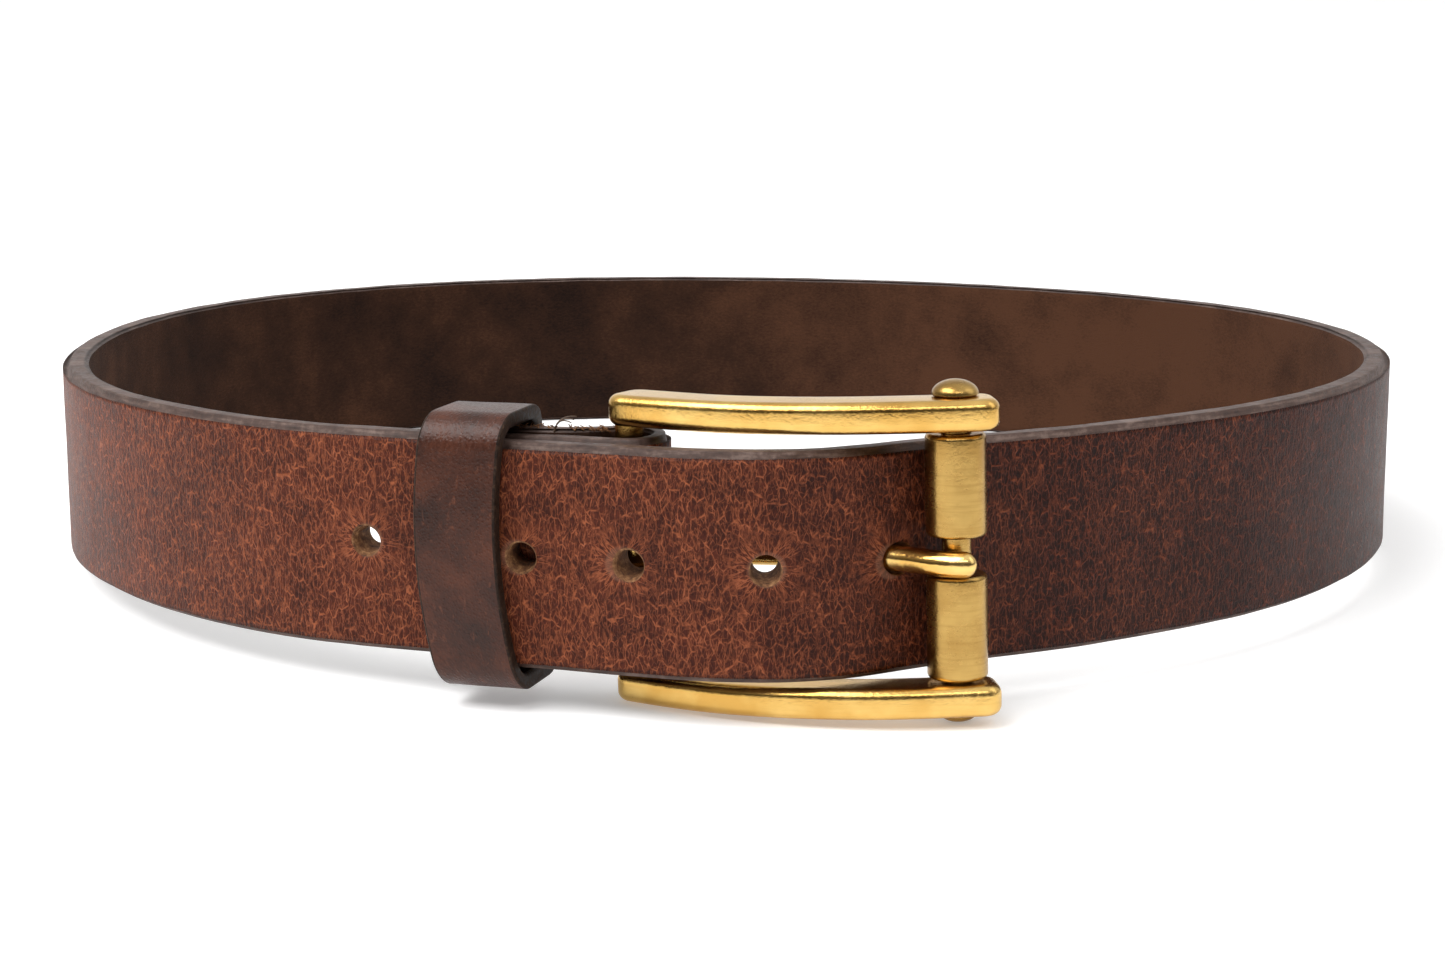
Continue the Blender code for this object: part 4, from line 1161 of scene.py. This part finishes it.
# %% Buckle shapes
ARM_LINE = [(-12.2, -133.2), (0.0, -141.0), (9.5, -144.9), (19.0, -147.2), (30.2, -148.3), (43.9, -147.7)]
ARM_WIDTH, ARM_HEIGHT, ARM_EDGE = 9.4, 5.3, 1.7
ARM_END_RADIUS = 3.2
ARM_BOTTOMS = (-6.6, 40.5)
ROLLERS = {"upper": (22.9, 39.8), "lower": (-0.9, 16.6)}
ROLLER_RADIUS = 5.0
HEAD_RADIUS, HEAD_HEIGHT = 3.85, 2.5
TAIL_RADIUS, TAIL_HEIGHT = 3.0, 1.6


def lean_to_frame(point):
    return to_frame(lean(point))


def arm_shape(bottom):
    """An arm as stacked rings: its outline in plan, drawn in at the top and the bottom."""
    line = line_through(ARM_LINE, 0.8)
    out = left_of(line)
    half, corner = ARM_WIDTH / 2, ARM_END_RADIUS

    def outline(inset):
        width, ring = half - inset, []
        for end, sign in ((-1, 1), (0, -1)):
            across = Vector(out[end]) * sign
            along = Vector((out[end][1], -out[end][0])) * sign
            side, flank = (line, out) if sign == 1 else (line[::-1], -out[::-1])
            keep = [i for i, p in enumerate(side)
                    if min(np.hypot(*(p - side[0])), np.hypot(*(p - side[-1]))) > 0.4]
            ring += [Vector(side[i] + flank[i] * width) for i in keep]
            r = corner - inset
            for turn, shift in ((0, half - corner), (1, corner - half)):
                centre = Vector(line[end]) + across * shift
                for a in np.radians(np.linspace(0.0, 90.0, 9) + 90.0 * turn):
                    ring.append(centre + r * (across * math.cos(a) + along * math.sin(a)))
        return ring

    verts, faces = [], []
    steps = np.radians(np.linspace(0, 90, 9))
    layers = [(ARM_EDGE * (1 - math.sin(a)), ARM_EDGE * (1 - math.cos(a))) for a in steps]
    layers += [(inset, ARM_HEIGHT - rise) for inset, rise in layers[::-1]]
    for inset, rise in layers:
        for k, p in enumerate(outline(inset)):
            bow = 0.06 * noise.noise(Vector((p.x / 11.0, bottom, 0.0)))
            verts.append(Vector((p.x, p.y + bow, bottom + rise + bow)))
    count = len(verts) // len(layers)
    for low in range(0, (len(layers) - 1) * count, count):
        high = low + count
        faces += [(low + k, low + (k + 1) % count, high + (k + 1) % count, high + k) for k in range(count)]
    faces += [tuple(range(count))[::-1], tuple(range(len(verts) - count, len(verts)))]
    return verts, faces


def spin(profile, axis, steps=80, closed=False):
    """A profile of (radius, height) turned round an upright axis, with closed ends or as a ring."""
    angles = [2 * math.pi * k / steps for k in range(steps)]
    verts = [Vector((axis.x + r * math.cos(a), axis.y + r * math.sin(a), z))
             for r, z in profile for a in angles]
    rows = len(profile) if closed else len(profile) - 1
    faces = []
    for i in range(rows):
        j = (i + 1) % len(profile)
        faces += [(i * steps + k, i * steps + (k + 1) % steps, j * steps + (k + 1) % steps, j * steps + k)
                  for k in range(steps)]
    if not closed:
        faces += [tuple(range(steps)), tuple(range(len(verts) - steps, len(verts)))]
    return verts, faces


def quarter(radius, height, span_r, span_z, first, count):
    """A quarter round of a profile about (radius, height), from the angle first, turning down."""
    return [(radius + span_r * math.cos(a), height + span_z * math.sin(a))
            for a in np.radians(np.linspace(first, first - 90.0, count))]


def finish_brass(obj, body, material, node=None):
    obj.data.materials.append(material)
    obj.data.set_sharp_from_angle(angle=math.radians(40))
    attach(obj, body)
    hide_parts(node or body)


# %% Make the brass pieces
cast = brass("cast satin brass", 0.10, 0.18, 0.045, "#c89c50", "#deb96e")
# Painted shade: the rollers' brass is the same metal made darker, so the upright tubes reflect less of the
# bright sheet.
shaded_turned_brass = brass("turned brass tube", 0.14, 0.22, 0.03, "#94713a", "#b99757")
drawn_brass = brass("polished brass rod", 0.07, 0.14, 0.02, "#d6aa5c", "#e9c67d")

heel = [(BAR_RADIUS, z) for z in np.linspace(ARM_BOTTOMS[0] + ARM_HEIGHT - 1, ARM_BOTTOMS[1] + 1, 12)]
casting = mesh_object("cast_frame", *join_parts([arm_shape(b) for b in ARM_BOTTOMS] + [spin(heel, HEEL, 48)]),
                      place=lean_to_frame)
finish_brass(casting, "buckle_frame", cast)

seat, foot = ARM_BOTTOMS[1] + ARM_HEIGHT, ARM_BOTTOMS[0]
rise = [(HEAD_RADIUS * math.cos(a), seat + 0.35 + (HEAD_HEIGHT - 0.1) * math.sin(a))
        for a in np.radians(np.linspace(0, 88, 14))]
tail = [(TAIL_RADIUS * math.cos(a), foot - 0.5 - (TAIL_HEIGHT - 0.3) * math.sin(a))
        for a in np.radians(np.linspace(0, 88, 9))]
pin = rise[::-1] + [(HEAD_RADIUS - 0.25, seat + 0.12), (BAR_RADIUS, seat - 0.2), (BAR_RADIUS, foot + 0.2),
                    (TAIL_RADIUS - 0.2, foot - 0.15)] + tail
riveted_pin = mesh_object("riveted_pin", *spin(pin, FRONT), place=lean_to_frame)
finish_brass(riveted_pin, "buckle_frame", shaded_turned_brass, "front_bar")

for name, (low, high) in ROLLERS.items():
    r, inner, edge = ROLLER_RADIUS, BAR_RADIUS + GAP, 0.8
    shape = [(inner, high - 0.2), (inner + 0.2, high)]
    shape += quarter(r - edge, high - edge, edge, edge, 90.0, 7)
    shape += [(r, z) for z in np.linspace(high - edge, low + edge, 12)[1:-1]]
    shape += quarter(r - edge, low + edge, edge, edge, 0.0, 7)
    shape += [(inner + 0.2, low), (inner, low + 0.2)]
    roller = mesh_object(f"roller_tube_{name}", *spin(shape, FRONT, 96, closed=True), place=lean_to_frame)
    finish_brass(roller, f"roller_{name}", shaded_turned_brass)

PRONG_EYE_RADIUS, PRONG_EYE_HEIGHT = 4.7, 4.8
line = [Vector((x, y, MIDDLE)) for x, y in line_through(PRONG_LINE, 0.8)]
line = [p for p in line if (p - HEEL).length > BAR_RADIUS + 1.2]
tip, along = line[-1], (line[-1] - line[-2]).normalized()
path, radii = line[:-1], [PRONG_RADIUS] * (len(line) - 1)
for a in np.radians(np.linspace(0, 86, 9)):
    path.append(tip + along * PRONG_RADIUS * math.sin(a))
    radii.append(PRONG_RADIUS * math.cos(a))
half, edge, hole = PRONG_EYE_HEIGHT / 2, 1.2, BAR_RADIUS + GAP
eye = [(hole, MIDDLE + half - 0.2), (hole + 0.3, MIDDLE + half)]
eye += quarter(PRONG_EYE_RADIUS - edge, MIDDLE + half - edge, edge, edge, 90.0, 7)
eye += [(r, 2 * MIDDLE - z) for r, z in eye[::-1]]
prong_parts = [tube(path, radii, 40), spin(eye, HEEL, 72, closed=True)]
prong = mesh_object("prong_rod", *join_parts(prong_parts), place=lean_to_frame)
finish_brass(prong, "prong", drawn_brass)
print("brass pieces:", [o.name for o in (casting, prong, roller)])
